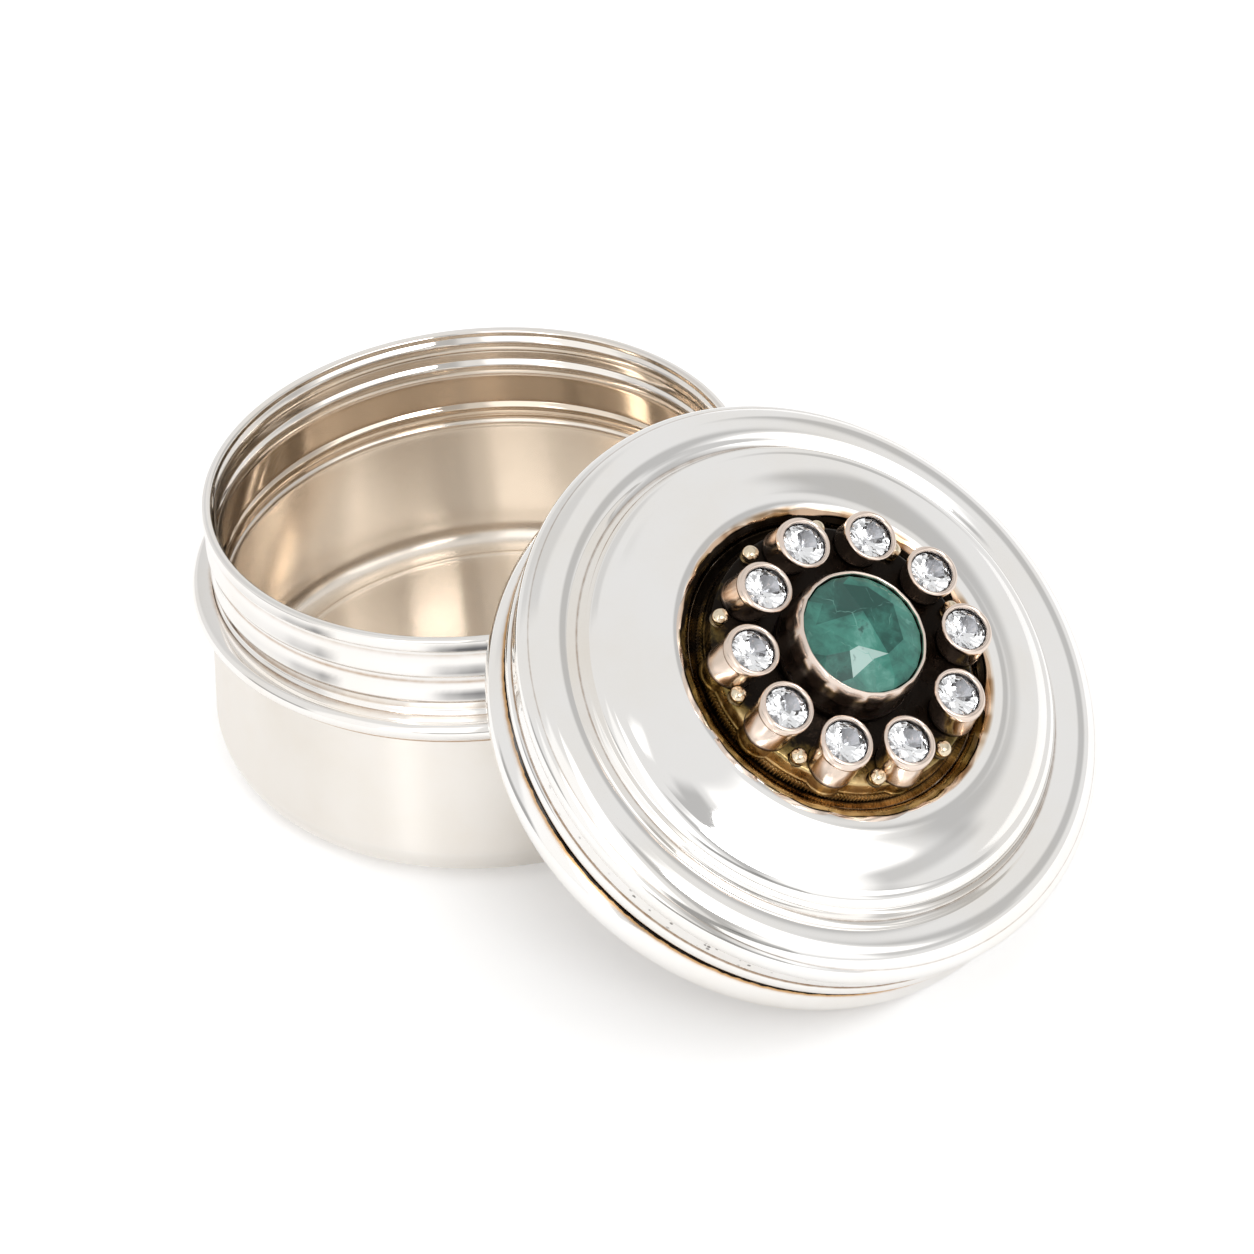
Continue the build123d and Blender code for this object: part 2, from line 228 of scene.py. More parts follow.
@dataclass
class Surface:
    """A grid of points: turns round an axis by rows along an outline.

    Attributes:
        points: row-frame points of shape (turns, rows, 3).
        ring: True if the rows close on themselves, False if both ends are poles.
        length: run of each row along its outline, millimetres, with one more for a ring.
        marks: named values per grid point.
    """

    points: Array
    ring: bool
    length: Array
    marks: dict[str, Array] = field(default_factory=dict)

    def __post_init__(self) -> None:
        """Spreads marks that are given per outline point over the grid."""
        shape = self.points.shape[:2]
        self.marks = {key: np.broadcast_to(mark, shape) for key, mark in self.marks.items()}

    def shift(self, amount: Array, way: Array) -> None:
        """Moves the points along a direction by an amount in millimetres."""
        self.points = self.points + amount[..., None] * MM * way

    def corners(self) -> list[tuple[Array, Array]]:
        """Faces of the grid: quads, then the two fans at the poles.

        Returns:
            Pairs of corner numbers (faces, corners) and their map places (turn, run).
        """
        turns, rows = self.points.shape[:2]
        step = np.arange(turns)
        after = (step + 1) % turns
        held = rows if self.ring else rows - 2
        row = np.arange(rows if self.ring else rows - 3)
        up = (row + 1) % rows
        ends = [(step, row), (after, row), (after, up), (step, up)]
        quads = np.stack([a[:, None] * held + b for a, b in ends], -1).reshape(-1, 4)
        lift = 0 if self.ring else 1
        sides = [(step, row), (step + 1, row), (step + 1, row + 1), (step, row + 1)]
        spread = [np.broadcast_arrays(a[:, None] / turns, self.length[b + lift]) for a, b in sides]
        parts = [(quads, np.stack([np.stack(pair, -1) for pair in spread], -2).reshape(-1, 4, 2))]
        if self.ring:
            return parts
        fans = (
            (turns * held, 0, step + 1, step, self.length[[1, 1, 0]]),
            (turns * held + 1, held - 1, step, step + 1, self.length[[-2, -2, -1]]),
        )
        for pole, level, start, end, run in fans:
            fan = [start % turns * held + level, end % turns * held + level, np.full(turns, pole)]
            turn = np.stack([start, end, step + 0.5], -1) / turns
            places = np.stack([turn, np.broadcast_to(run, turn.shape)], -1)
            parts.append((np.stack(fan, -1), places))
        return parts

    def flat(self, values: Array) -> Array:
        """Grid values in the order of the mesh's vertices, poles last.

        Args:
            values: values of shape (turns, rows, ...).

        Returns:
            Values of shape (vertices, ...).
        """
        tail = values.shape[2:]
        if self.ring:
            return values.reshape((-1,) + tail)
        poles = [values[:, end].mean(0)[None] for end in (0, -1)]
        return np.concatenate([values[:, 1:-1].reshape((-1,) + tail), *poles])

    def mesh(self, name: str) -> Mesh:
        """The surface as a smooth mesh with a map (turn, run along the outline).

        Args:
            name: name of the mesh.

        Returns:
            The mesh, with the marks as values of its points.
        """
        parts = self.corners()
        faces = [face for numbers, _ in parts for face in numbers.tolist()]
        mesh = bpy.data.meshes.new(name)
        mesh.from_pydata(self.flat(self.points).tolist(), [], faces)
        grid = np.concatenate([places.reshape(-1, 2) for _, places in parts]).astype(np.float32)
        mesh.uv_layers.new(name="turn_run").data.foreach_set("uv", grid.ravel())
        for key, values in self.marks.items():
            mark = mesh.attributes.new(key, "FLOAT", "POINT")
            mark.data.foreach_set("value", self.flat(values).astype(np.float32))
        mesh.polygons.foreach_set("use_smooth", np.ones(len(mesh.polygons), bool))
        mesh.update()
        return mesh

    def angles(self) -> Array:
        """Angle of each turn, radians, of shape (turns, 1)."""
        return turn_angles(len(self.points))


def facing(profile: Array) -> Array:
    """Outward direction of each point of an outline, square to its central slope.

    Args:
        profile: outline of shape (n, 2), counter-clockwise.

    Returns:
        Unit directions (radial, upward) of shape (n, 2).
    """
    slope = np.gradient(profile, axis=0)
    slope /= np.linalg.norm(slope, axis=1, keepdims=True) + 1e-12
    return np.stack([slope[:, 1], -slope[:, 0]], -1)


def spin(
    profile: Array, stand: Stand, ring: bool, spots: Spots = (), turns: int = 256, **marks: Array
) -> Surface:
    """Turns an outline (radius, height) about the axis of a stand.

    The point at angle a is origin + radius * (cos a * u + sin a * w) + height * n.

    Args:
        profile: outline, millimetres.
        stand: frame with its axis along n.
        ring: True for a closed loop.
        spots: spots of the outline that hold tarnish.
        turns: steps round the axis.
        marks: further named values per outline point.

    Returns:
        The surface, with its tarnish marked.
    """
    points = stand.polar(profile[None, :, 0], turn_angles(turns), profile[None, :, 1])
    marks["tarnish"] = near(profile, spots)
    return Surface(points, ring, run_length(profile, ring), marks)


def enter(name: str, data: Any) -> bpy.types.Object:
    """Makes an object of a mesh, lamp or camera and links it into the scene.

    Args:
        name: name of the object.
        data: what it shows.

    Returns:
        The new object.
    """
    thing = bpy.data.objects.new(name, data)
    bpy.context.scene.collection.objects.link(thing)
    return thing


def publish(mesh: Mesh, finish: Material, body: Body, node: str) -> None:
    """Puts a mesh into the scene as a piece that stands for a CAD node.

    Args:
        mesh: finished mesh in the row frame.
        finish: its material.
        body: body that it rides on.
        node: CAD node that it replaces.
    """
    piece = enter(mesh.name, mesh)
    mesh.materials.append(finish)
    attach(piece, body.value)
    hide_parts(node)
    log.info("%s: %d faces", mesh.name, len(mesh.polygons))


# ---------------------------------------------------------------- finishes


class Nodes:
    """A node tree while it is put together."""

    def __init__(self, tree: bpy.types.NodeTree) -> None:
        """Starts with an empty tree."""
        self.tree = tree
        self.tree.nodes.clear()

    def add(
        self, kind: str, sockets: Optional[dict[Any, Any]] = None, **settings: Any
    ) -> bpy.types.Node:
        """Adds a node, sets its options and fills or links its sockets.

        Args:
            kind: type of the node, without its ShaderNode.
            sockets: values or sockets by the input's name or number.
            settings: options of the node.

        Returns:
            The node.
        """
        node = self.tree.nodes.new("ShaderNode" + kind)
        for key, value in settings.items():
            setattr(node, key, value)
        self.fill(node, sockets or {})
        return node

    def fill(self, node: bpy.types.Node, sockets: dict[Any, Any]) -> None:
        """Sets each socket of a node to a value, or links it to another socket.

        Args:
            node: node to fill.
            sockets: values or sockets by the input's name or number.
        """
        for key, value in sockets.items():
            if isinstance(value, bpy.types.NodeSocket):
                self.tree.links.new(value, node.inputs[key])
            elif isinstance(value, tuple) and len(value) == 3 and node.inputs[key].type == "RGBA":
                node.inputs[key].default_value = (*value, 1.0)
            else:
                node.inputs[key].default_value = value

    def place(self) -> Any:
        """Object coordinates, metres."""
        return self.add("TexCoord").outputs["Object"]

    def mark(self, name: str) -> Any:
        """A named value of the mesh."""
        return self.add("Attribute", attribute_name=name).outputs["Fac"]

    def noise(self, vector: Any, scale: float, detail: float = 2.0, rough: float = 0.5) -> Any:
        """Cloudy noise from 0 to 1."""
        sockets = {"Vector": vector, "Scale": scale, "Detail": detail, "Roughness": rough}
        return self.add("TexNoise", sockets).outputs["Fac"]

    def turn(self) -> Any:
        """Turn round the piece from its map, 0 to 1."""
        grid = self.add("UVMap", uv_map="turn_run").outputs[0]
        return self.add("SeparateXYZ", {0: grid}).outputs["X"]

    def streaks(self, scale: float, detail: float = 3.0) -> Any:
        """Streaks along the outline: noise on the unit circle of the turn, so that they close.

        Args:
            scale: streaks per unit of the circle.
            detail: octaves of the noise.

        Returns:
            Socket with values from 0 to 1.
        """
        turn = self.math("MULTIPLY", self.turn(), TAU)
        circle = {"X": self.math("COSINE", turn), "Y": self.math("SINE", turn)}
        return self.noise(self.add("CombineXYZ", circle).outputs[0], scale, detail)

    def math(self, kind: str, first: Any, second: Any = 0.0, clamp: bool = False) -> Any:
        """One sum of two values."""
        return self.add("Math", {0: first, 1: second}, operation=kind, use_clamp=clamp).outputs[0]

    def span(self, value: Any, low: float, high: float, start: float = 0.0, end: float = 1.0) -> Any:
        """Smooth step of a value from one span to another."""
        sockets = {"Value": value, 1: low, 2: high, 3: start, 4: end}
        return self.add("MapRange", sockets, interpolation_type="SMOOTHSTEP").outputs[0]

    def scaled(self, first: Any, second: Any) -> Any:
        """Product of two values."""
        return self.math("MULTIPLY", first, second)

    def mix(self, share: Any, first: Any, second: Any) -> Any:
        """Colour between two colours.

        Args:
            share: share of the second colour.
            first: colour at share 0.
            second: colour at share 1.

        Returns:
            Socket with the colour.
        """
        node = self.add("Mix", data_type="RGBA")
        self.fill(node, {0: share, 6: first, 7: second})
        return node.outputs[2]

    def bump(self, height: Any, distance: float, strength: float, under: Any = None) -> Any:
        """Surface relief from a height value.

        Args:
            height: height from 0 to 1.
            distance: height of 1, metres.
            strength: share of the relief that shows.
            under: relief on which it lies.

        Returns:
            Socket with the normal.
        """
        sockets = {"Height": height, "Distance": distance, "Strength": strength}
        if under is not None:
            sockets["Normal"] = under
        return self.add("Bump", sockets).outputs[0]


class Shader(Nodes):
    """A material's node tree with one principled shader."""

    def __init__(self, name: str) -> None:
        """Starts a material with a principled shader and its output.

        Args:
            name: name of the material.
        """
        self.material = bpy.data.materials.new(name)
        self.material.use_nodes = True
        super().__init__(self.material.node_tree)
        self.skin = self.add("BsdfPrincipled")
        self.add("OutputMaterial", {0: self.skin.outputs[0]})

    def dress(self, **sockets: Any) -> None:
        """Sets sockets of the principled shader, spaces written as underscores."""
        self.fill(self.skin, {key.replace("_", " "): value for key, value in sockets.items()})


@dataclass(frozen=True)
class Silver:
    """Worked silver: polish, burnishing waves, tarnish in its corners, and painted shade and reflection
    where a piece marks them.

    Attributes:
        name: name of the finish.
        metal: colour of the clean metal.
        inside: colour where the piece marks its inner side.
        film: colour of the tarnish.
        burnished_and_painted_dark: colour where the piece marks a burnished lip, and on the neck the
            dark grey of a painted reflection.
        rub_streak_and_painted_dark: colour of the streaks along that lip, and on the neck the same
            painted dark reflection.
        gloss: roughness of the clean metal.
        inner_gloss: roughness that the inner side adds.
        cloud: how much the roughness changes from place to place.
        turned: how much the turning of the piece stretches a highlight across it, 0 to 1.
        wave: height of the burnishing waves, millimetres.
        wave_size: waves per metre.
        cloud_size: clouds of wear per metre.
        grain_size: grains per metre.
        pit_size: pits per metre.
        wear: share of each colour that worn metal keeps.
        pit: colour of the pits.
        black_tarnish_and_shade: colour of the thickest tarnish, which under the lid's rolled edge and in
            the gap above its hoop is painted shade as well.
    """

    name: str
    metal: Colour = (0.96, 0.945, 0.925)
    inside: Colour = (0.86, 0.75, 0.62)
    film: Colour = (0.16, 0.095, 0.05)
    burnished_and_painted_dark: Colour = (0.90, 0.77, 0.65)
    rub_streak_and_painted_dark: Colour = (0.46, 0.29, 0.16)
    gloss: float = 0.07
    inner_gloss: float = 0.0
    cloud: float = 0.05
    turned: float = 0.0
    wave: float = 0.012
    wave_size: float = 95.0
    cloud_size: float = 90.0
    grain_size: float = 900.0
    pit_size: float = 1050.0
    wear: Colour = (0.985, 0.97, 0.945)
    pit: Colour = (0.05, 0.036, 0.028)
    black_tarnish_and_shade: Colour = (0.012, 0.009, 0.007)

    def material(self) -> Material:
        """The finish as a node material.

        Metal, inner side, burnished lip, pits and tarnish are laid over one another in this order,
        each by the value that the piece marks for it. On the neck the burnished lip is a painted dark
        reflection.

        Returns:
            The material.
        """
        s = Shader(self.name)
        place = s.place()
        cloud = s.noise(place, self.cloud_size, 4.0, 0.6)
        grain = s.noise(place, self.grain_size, 3.0, 0.6)
        streak = s.streaks(9.0)
        worn = tuple(c * k for c, k in zip(self.metal, self.wear))
        tint = s.mix(s.span(cloud, 0.35, 0.75), self.metal, worn)
        dimmed = tuple(c * 0.975 for c in self.inside)
        bands = s.mix(s.span(streak, 0.35, 0.65), dimmed, self.inside)
        tint = s.mix(s.mark("inner"), tint, bands)
        # The burnish mark lays a burnished lip colour on the lid and dish, and on the neck a painted
        # dark reflection.
        lip = s.mark("burnish")
        tint = s.mix(lip, tint, self.burnished_and_painted_dark)
        rubbed = s.scaled(lip, s.span(s.streaks(4.5, 2.0), 0.4, 0.62))
        tint = s.mix(rubbed, tint, self.rub_streak_and_painted_dark)
        pits = s.add("TexVoronoi", {"Vector": place, "Scale": self.pit_size}).outputs["Distance"]
        pits = s.math("SUBTRACT", pits, s.scaled(s.math("SUBTRACT", grain, 0.5), 0.5))
        pits = s.scaled(s.span(pits, 0.26, 0.14), s.span(cloud, 0.46, 0.56))
        tint = s.mix(s.scaled(pits, s.mark("pits")), tint, self.pit)
        ragged = s.scaled(s.mark("tarnish"), s.span(grain, 0.2, 0.8, 0.85, 1.15))
        film = s.scaled(s.span(ragged, 0.12, 0.8), s.span(cloud, 0.15, 0.55, 0.6, 1.0))
        rough = s.span(cloud, 0.3, 0.75, self.gloss, self.gloss + self.cloud)
        rough = s.math("ADD", rough, s.scaled(film, 0.2))
        if self.inner_gloss:
            rough = s.math("ADD", rough, s.scaled(s.mark("inner"), self.inner_gloss))
        relief = s.bump(s.noise(place, self.wave_size, 2.0, 0.4), self.wave * MM, 1.0)
        # Where the tarnish runs past 1 it turns black: patina in most corners, painted shade under the
        # lid's rolled edge and in its gaps.
        deep = s.mix(s.span(ragged, 0.9, 1.05), self.film, self.black_tarnish_and_shade)
        s.dress(Base_Color=s.mix(film, tint, deep), Metallic=1.0, Roughness=rough, Normal=relief)
        if self.turned:
            tangent = s.add("Tangent", direction_type="UV_MAP", uv_map="turn_run").outputs[0]
            s.dress(Anisotropic=self.turned, Anisotropic_Rotation=0.25, Tangent=tangent)
        return s.material


@dataclass(frozen=True)
class Oxidised:
    """Blackened silver with a lumpy olive and gold film."""

    name: str
    black: Colour = (0.014, 0.011, 0.009)
    olive: Colour = (0.20, 0.14, 0.045)
    gold: Colour = (0.62, 0.45, 0.22)

    def material(self) -> Material:
        """The finish as a node material.

        The marked tarnish, made uneven by patches, runs from black through olive to gold.

        Returns:
            The material.
        """
        s = Shader(self.name)
        place = s.place()
        patch = s.noise(place, 420.0, 4.0, 0.6)
        grain = s.noise(place, 1500.0, 3.0, 0.6)
        uneven = s.scaled(s.math("SUBTRACT", patch, 0.5), 1.1)
        share = s.math("ADD", s.mark("tarnish"), uneven)
        body = s.mix(s.span(share, 0.25, 0.6), self.black, self.olive)
        body = s.mix(s.span(share, 0.55, 0.95), body, self.gold)
        relief = s.bump(grain, 0.04 * MM, 0.6, s.bump(patch, 0.3 * MM, 0.7))
        rough = s.span(patch, 0.3, 0.7, 0.18, 0.4)
        s.dress(Base_Color=body, Metallic=1.0, Roughness=rough, Normal=relief)
        return s.material


@dataclass(frozen=True)
class ClearStone:
    """Colourless cut stone."""

    name: str
    ior: float = 1.7
    white: Colour = (1.0, 1.0, 1.0)
    cool: Colour = (0.94, 0.955, 0.975)

    def material(self) -> Material:
        """The finish as a node material.

        Returns:
            The material.
        """
        s = Shader(self.name)
        tint = s.mix(s.noise(s.place(), 600.0, 2.0), self.white, self.cool)
        s.dress(Base_Color=tint, Roughness=0.0, IOR=self.ior, Transmission_Weight=1.0)
        return s.material


@dataclass(frozen=True)
class GreenStone:
    """Cloudy green stone with cracks and inclusions under its facets."""

    name: str
    deep: Colour = (0.008, 0.062, 0.048)
    clear: Colour = (0.045, 0.215, 0.165)
    milk: Colour = (0.15, 0.37, 0.31)
    painted_glint: Colour = (0.42, 0.56, 0.52)
    speck: Colour = (0.006, 0.035, 0.028)
    swirl: float = 0.0045
    ior: float = 1.58

    def material(self) -> Material:
        """The finish as a node material.

        Noise bends the coordinates, so that clouds, cracks and specks swirl; the tone of each
        facet shifts the shade, and the facets of the highest tone get a painted whitish reflection.

        Returns:
            The material.
        """
        s = Shader(self.name)
        place = s.place()
        noise = s.add("TexNoise", {"Vector": place, "Scale": 240.0, "Detail": 3.0}).outputs["Color"]
        bent = s.add("VectorMath", {0: noise, 1: (self.swirl,) * 3}, operation="MULTIPLY").outputs[0]
        bent = s.add("VectorMath", {0: place, 1: bent}, operation="ADD").outputs[0]
        cloud = s.noise(bent, 260.0, 5.0, 0.62)
        tone = s.mark("tone")
        shade = s.math("ADD", s.scaled(cloud, 1.7), s.scaled(tone, 0.85))
        body = s.mix(s.span(shade, 0.9, 1.55), self.deep, self.clear)
        body = s.mix(s.span(shade, 1.45, 1.85), body, self.milk)
        # Painted whitish reflection on the facets whose tone is above 0.85.
        body = s.mix(s.span(tone, 0.85, 1.0, 0.0, 0.8), body, self.painted_glint)
        veins = s.add("TexVoronoi", {"Vector": bent, "Scale": 300.0}, feature="DISTANCE_TO_EDGE")
        crack = s.span(veins.outputs["Distance"], 0.022, 0.004)
        patchy = s.span(s.noise(place, 420.0, 3.0), 0.5, 0.62, 0.0, 0.55)
        body = s.mix(s.scaled(crack, patchy), body, self.milk)
        dark = s.scaled(s.span(s.noise(bent, 520.0, 4.0), 0.62, 0.72), 0.75)
        body = s.mix(dark, body, self.speck)
        s.dress(Base_Color=body, Roughness=0.08, IOR=self.ior, Subsurface_Weight=0.12)
        s.dress(Subsurface_Radius=(0.4 * MM, 1.0 * MM, 0.8 * MM), Subsurface_Scale=1.0)
        return s.material


# ---------------------------------------------------------------- the cup


UPRIGHT = Stand(np.zeros(3), np.array([1.0, 0, 0]), np.array([0, 1.0, 0]), np.array([0, 0, 1.0]))


@dataclass
class Cup:
    """Squat cup: spun bowl, rolled neck and beaded shoulder ring, millimetres."""

    neck_radius: float = 29.0
    neck_height: float = 11.8
    neck_wall: float = 1.1
    groove_pitch: float = 3.2
    first_groove: float = 2.2
    groove_width: float = 1.7
    groove_floor: float = 0.9
    groove_depth: float = 0.35
    bowl_height: float = 19.0
    bowl_wall: float = 0.95
    mouth_step: float = 0.4
    mouth_height: float = 1.1
    flare: float = 1.4
    corner: float = 4.4
    inner_corner: float = 2.3
    bead_height: float = 2.0
    bead_width: float = 2.29
    bead_bulge: float = 0.7
    lip_height: float = 0.4
    lip_ledge: float = 1.45
    floor_bead_inset: float = 0.9
    floor_bead_half: float = 0.35
    floor_bead_foot: float = 0.45
    floor_bead_rise: float = 0.16
    ridge_share: float = 0.8
    inner_ridges: tuple[tuple[float, float], ...] = ((1.75, 1.0), (4.85, 1.05), (10.4, 0.85))
    inner_stains: tuple[float, ...] = (3.3, 6.1, 9.3)
    plain_depth: float = 5.6
    # Depths of the ridges that carry the painted dark reflection.
    painted_reflection_depths: tuple[float, ...] = (1.05, 3.8, 7.0)
    bowl_blur: float = 0.14
    neck_blur: float = 0.12
    bead_blur: float = 0.1

    def bowl(self) -> Surface:
        """Bowl: flat base, round corner, wall drawn in to a thick mouth, a bead round its floor.

        Returns:
            The surface, with its inner side marked.
        """
        mouth = self.neck_radius + self.mouth_step
        belly = mouth + self.flare
        flat = belly - self.corner
        bore = self.neck_radius - self.neck_wall
        diagonal = self.corner * DIAGONAL
        inner = belly - self.bowl_wall
        floor, turn = self.bowl_wall, self.inner_corner
        cut = turn * (1 - DIAGONAL)
        bead, half = inner - turn - self.floor_bead_inset, self.floor_bead_half
        crest = (bead, floor + self.floor_bead_rise)
        top = self.bowl_height
        under = top - self.mouth_height
        profile = outline(
            (0, 0),
            arc((flat, 0), (flat + diagonal, self.corner - diagonal), (belly, self.corner)),
            (mouth, top),
            (bore, top),
            arc((bore, top - 0.05), (bore - 0.28, top - 0.6), (bore + 0.25, under - 0.1)),
            (mouth - self.bowl_wall, under - self.mouth_step),
            arc((inner, floor + turn), (inner - cut, floor + cut), (inner - turn, floor)),
            (bead + self.floor_bead_foot, floor),
            arc((bead + half, floor), crest, (bead - half, floor), SHORT_ARC),
            (bead - self.floor_bead_foot, floor),
            (0, floor),
        )
        line = soften(profile, self.bowl_blur, False)
        # The spot at the base corner is a painted contact shadow in the tarnish colour; the spot at the
        # mouth is tarnish.
        spots = [(mouth, top, 0.35, 0.8), (flat + 2.6, 0.7, 0.6, 0.45)]
        way = facing(line)
        inner = np.clip(2 * np.maximum(-way[:, 0], way[:, 1]), 0, 1)
        return spin(line, UPRIGHT, False, spots, inner=inner)

    def neck(self) -> Surface:
        """Neck: rounded rim, ridges with sloping faces between three grooves, and ridges inside.

        Returns:
            The surface, with its inner side and the painted dark reflection on its ridges marked.
        """
        rim = self.bowl_height + self.neck_height
        outer, bore = self.neck_radius, self.neck_radius - self.neck_wall
        half, floor = self.groove_width / 2, self.groove_floor / 2
        root = outer - self.groove_depth * self.ridge_share
        deep = outer - self.groove_depth
        runs: list[Any] = [(bore, self.bowl_height), (outer, self.bowl_height)]
        for index in (2, 1, 0):
            middle = rim - self.first_groove - self.groove_pitch * index
            runs.append((outer if index == 2 else root, middle - half))
            runs += [(deep, middle - floor), (deep, middle + floor)]
            if index:
                low = middle + half * self.ridge_share
                end = middle + self.groove_pitch - half * self.ridge_share
                brow = (outer - 0.02, low + 0.7)
                slope = (outer - 0.17, (low + 0.7 + end) / 2)
                swell = [(root, low), (outer + 0.02, low + 0.3), (outer + 0.03, low + 0.55)]
                runs.append(arc(*swell, SHORT_ARC))
                runs.append(arc(brow, slope, (root - 0.05, end), SHORT_ARC))
        crown = rim - self.first_groove + half * self.ridge_share
        swell = [(root, crown), (outer + 0.02, crown + 0.3), (outer + 0.02, crown + 0.55)]
        runs.append(arc(*swell, SHORT_ARC))
        runs.append(arc((outer - 0.1, rim - 0.22), (outer - self.neck_wall / 2, rim), (bore, rim - 0.3)))
        for depth, reach in self.inner_ridges:
            ends = [(bore + 0.05, rim - depth + reach), (bore + 0.05, rim - depth - reach)]
            runs.append(arc(ends[0], (bore - self.groove_depth - 0.05, rim - depth), ends[1], SHORT_ARC))
        line = soften(outline(*runs), self.neck_blur, True)
        floors = [rim - self.first_groove - self.groove_pitch * index for index in range(3)]
        spots = [(deep, height, 0.3, 0.6) for height in floors]
        spots += [(bore, rim - depth, 0.35, 0.4) for depth in self.inner_stains]
        plain = np.clip((rim - self.plain_depth - line[:, 1]) / 0.6, 0.25, 1)
        inner = np.clip(-1.6 * facing(line)[:, 0], 0, 1) * plain
        surface = spin(line, UPRIGHT, True, spots, inner=inner)
        # Painted dark reflection on the outer ridges in front, carried by the burnish mark.
        ridges = [(outer, rim - depth, 0.44, 1.0) for depth in self.painted_reflection_depths]
        surface.marks["burnish"] = near(line, ridges) * self.painted_reflection(surface.angles())
        return surface

    def painted_reflection(self, angle: Array) -> Array:
        """Painted dark reflection on the ridges in front, standing in for the leaning lid's shaded side
        mirrored in them.

        In front it grows over 8 degrees from -102 degrees and ends at -62. On the left it ends at
        -120 degrees, and from -124 degrees it dies away by exp(-offset / 10).

        Args:
            angle: angles round the cup, radians.

        Returns:
            Shares from 0 to 1, of the shape of the angles.
        """
        degrees = (np.degrees(angle) + 180.0) % 360.0 - 180.0
        right = ramp(degrees, -102.0, 8.0) * ramp(degrees, -62.0, -6.0)
        left = np.exp(np.minimum(degrees + 124.0, 0) / 10.0) * ramp(degrees, -120.0, -5.0)
        return np.maximum(right, 0.75 * left)

    def shoulder(self) -> Surface:
        """Shoulder ring: half-round bead over a thin lip.

        Returns:
            The surface.
        """
        bore = self.neck_radius + 0.02
        base = self.bowl_height + self.lip_height
        edge = self.neck_radius + self.bead_width
        root = edge - self.bead_bulge
        ledge = self.neck_radius + self.lip_ledge
        profile = outline(
            (bore, self.bowl_height),
            (ledge, self.bowl_height),
            (ledge, base),
            arc((root, base), (edge, base + self.bead_height / 2), (root, base + self.bead_height)),
            (bore, base + self.bead_height),
        )
        spots = [(ledge, self.bowl_height + 0.2, 0.4, 0.8), (bore, base + 2.0, 0.5, 0.5)]
        return spin(soften(profile, self.bead_blur, True), UPRIGHT, True, spots)

    def build(self, satin: Material, bright: Material) -> None:
        """Makes and dresses the three pieces of the cup.

        Args:
            satin: finish of the bowl.
            bright: finish of neck and shoulder.
        """
        publish(self.bowl().mesh("cup_bowl"), satin, Body.CUP, "bowl")
        publish(self.neck().mesh("cup_neck"), bright, Body.CUP, "neck_ring")
        publish(self.shoulder().mesh("cup_shoulder"), bright, Body.CUP, "shoulder_ring")


# ---------------------------------------------------------------- the lid


@dataclass
class Lean:
    """How the lid leans: its hoop on the table and its mouth on the cup's rim at two points."""

    tilt: float = 35.24
    heading: float = -47.0
    rim_height: float = 30.8
    rim_crown: float = 0.3
    gap: float = 0.24
    neck_radius: float = 29.0
    lid_bore: float = 29.25
    hoop_edge: float = 30.14

    def stand(self) -> Stand:
        """Frame of the lid's mouth: the reach solves the circle of the mouth against the rim's.

        Returns:
            The frame, with its axis out of the lid's crown.
        """
        tilt, heading = math.radians(self.tilt), math.radians(self.heading)
        mouth = self.hoop_edge * math.sin(tilt)
        rise = self.rim_height - self.rim_crown + self.gap - mouth
        slope = self.neck_radius**2 - self.lid_bore**2 + (rise / math.sin(tilt)) ** 2
        reach = rise / math.tan(tilt) + math.sqrt(slope)
        out = np.array([math.cos(heading), math.sin(heading), 0.0])
        n = math.sin(tilt) * out + np.array([0.0, 0.0, math.cos(tilt)])
        u = np.array([-math.sin(heading), math.cos(heading), 0.0])
        origin = (reach * out + np.array([0.0, 0.0, mouth])) * MM
        return Stand(origin, u, np.cross(n, u), n)


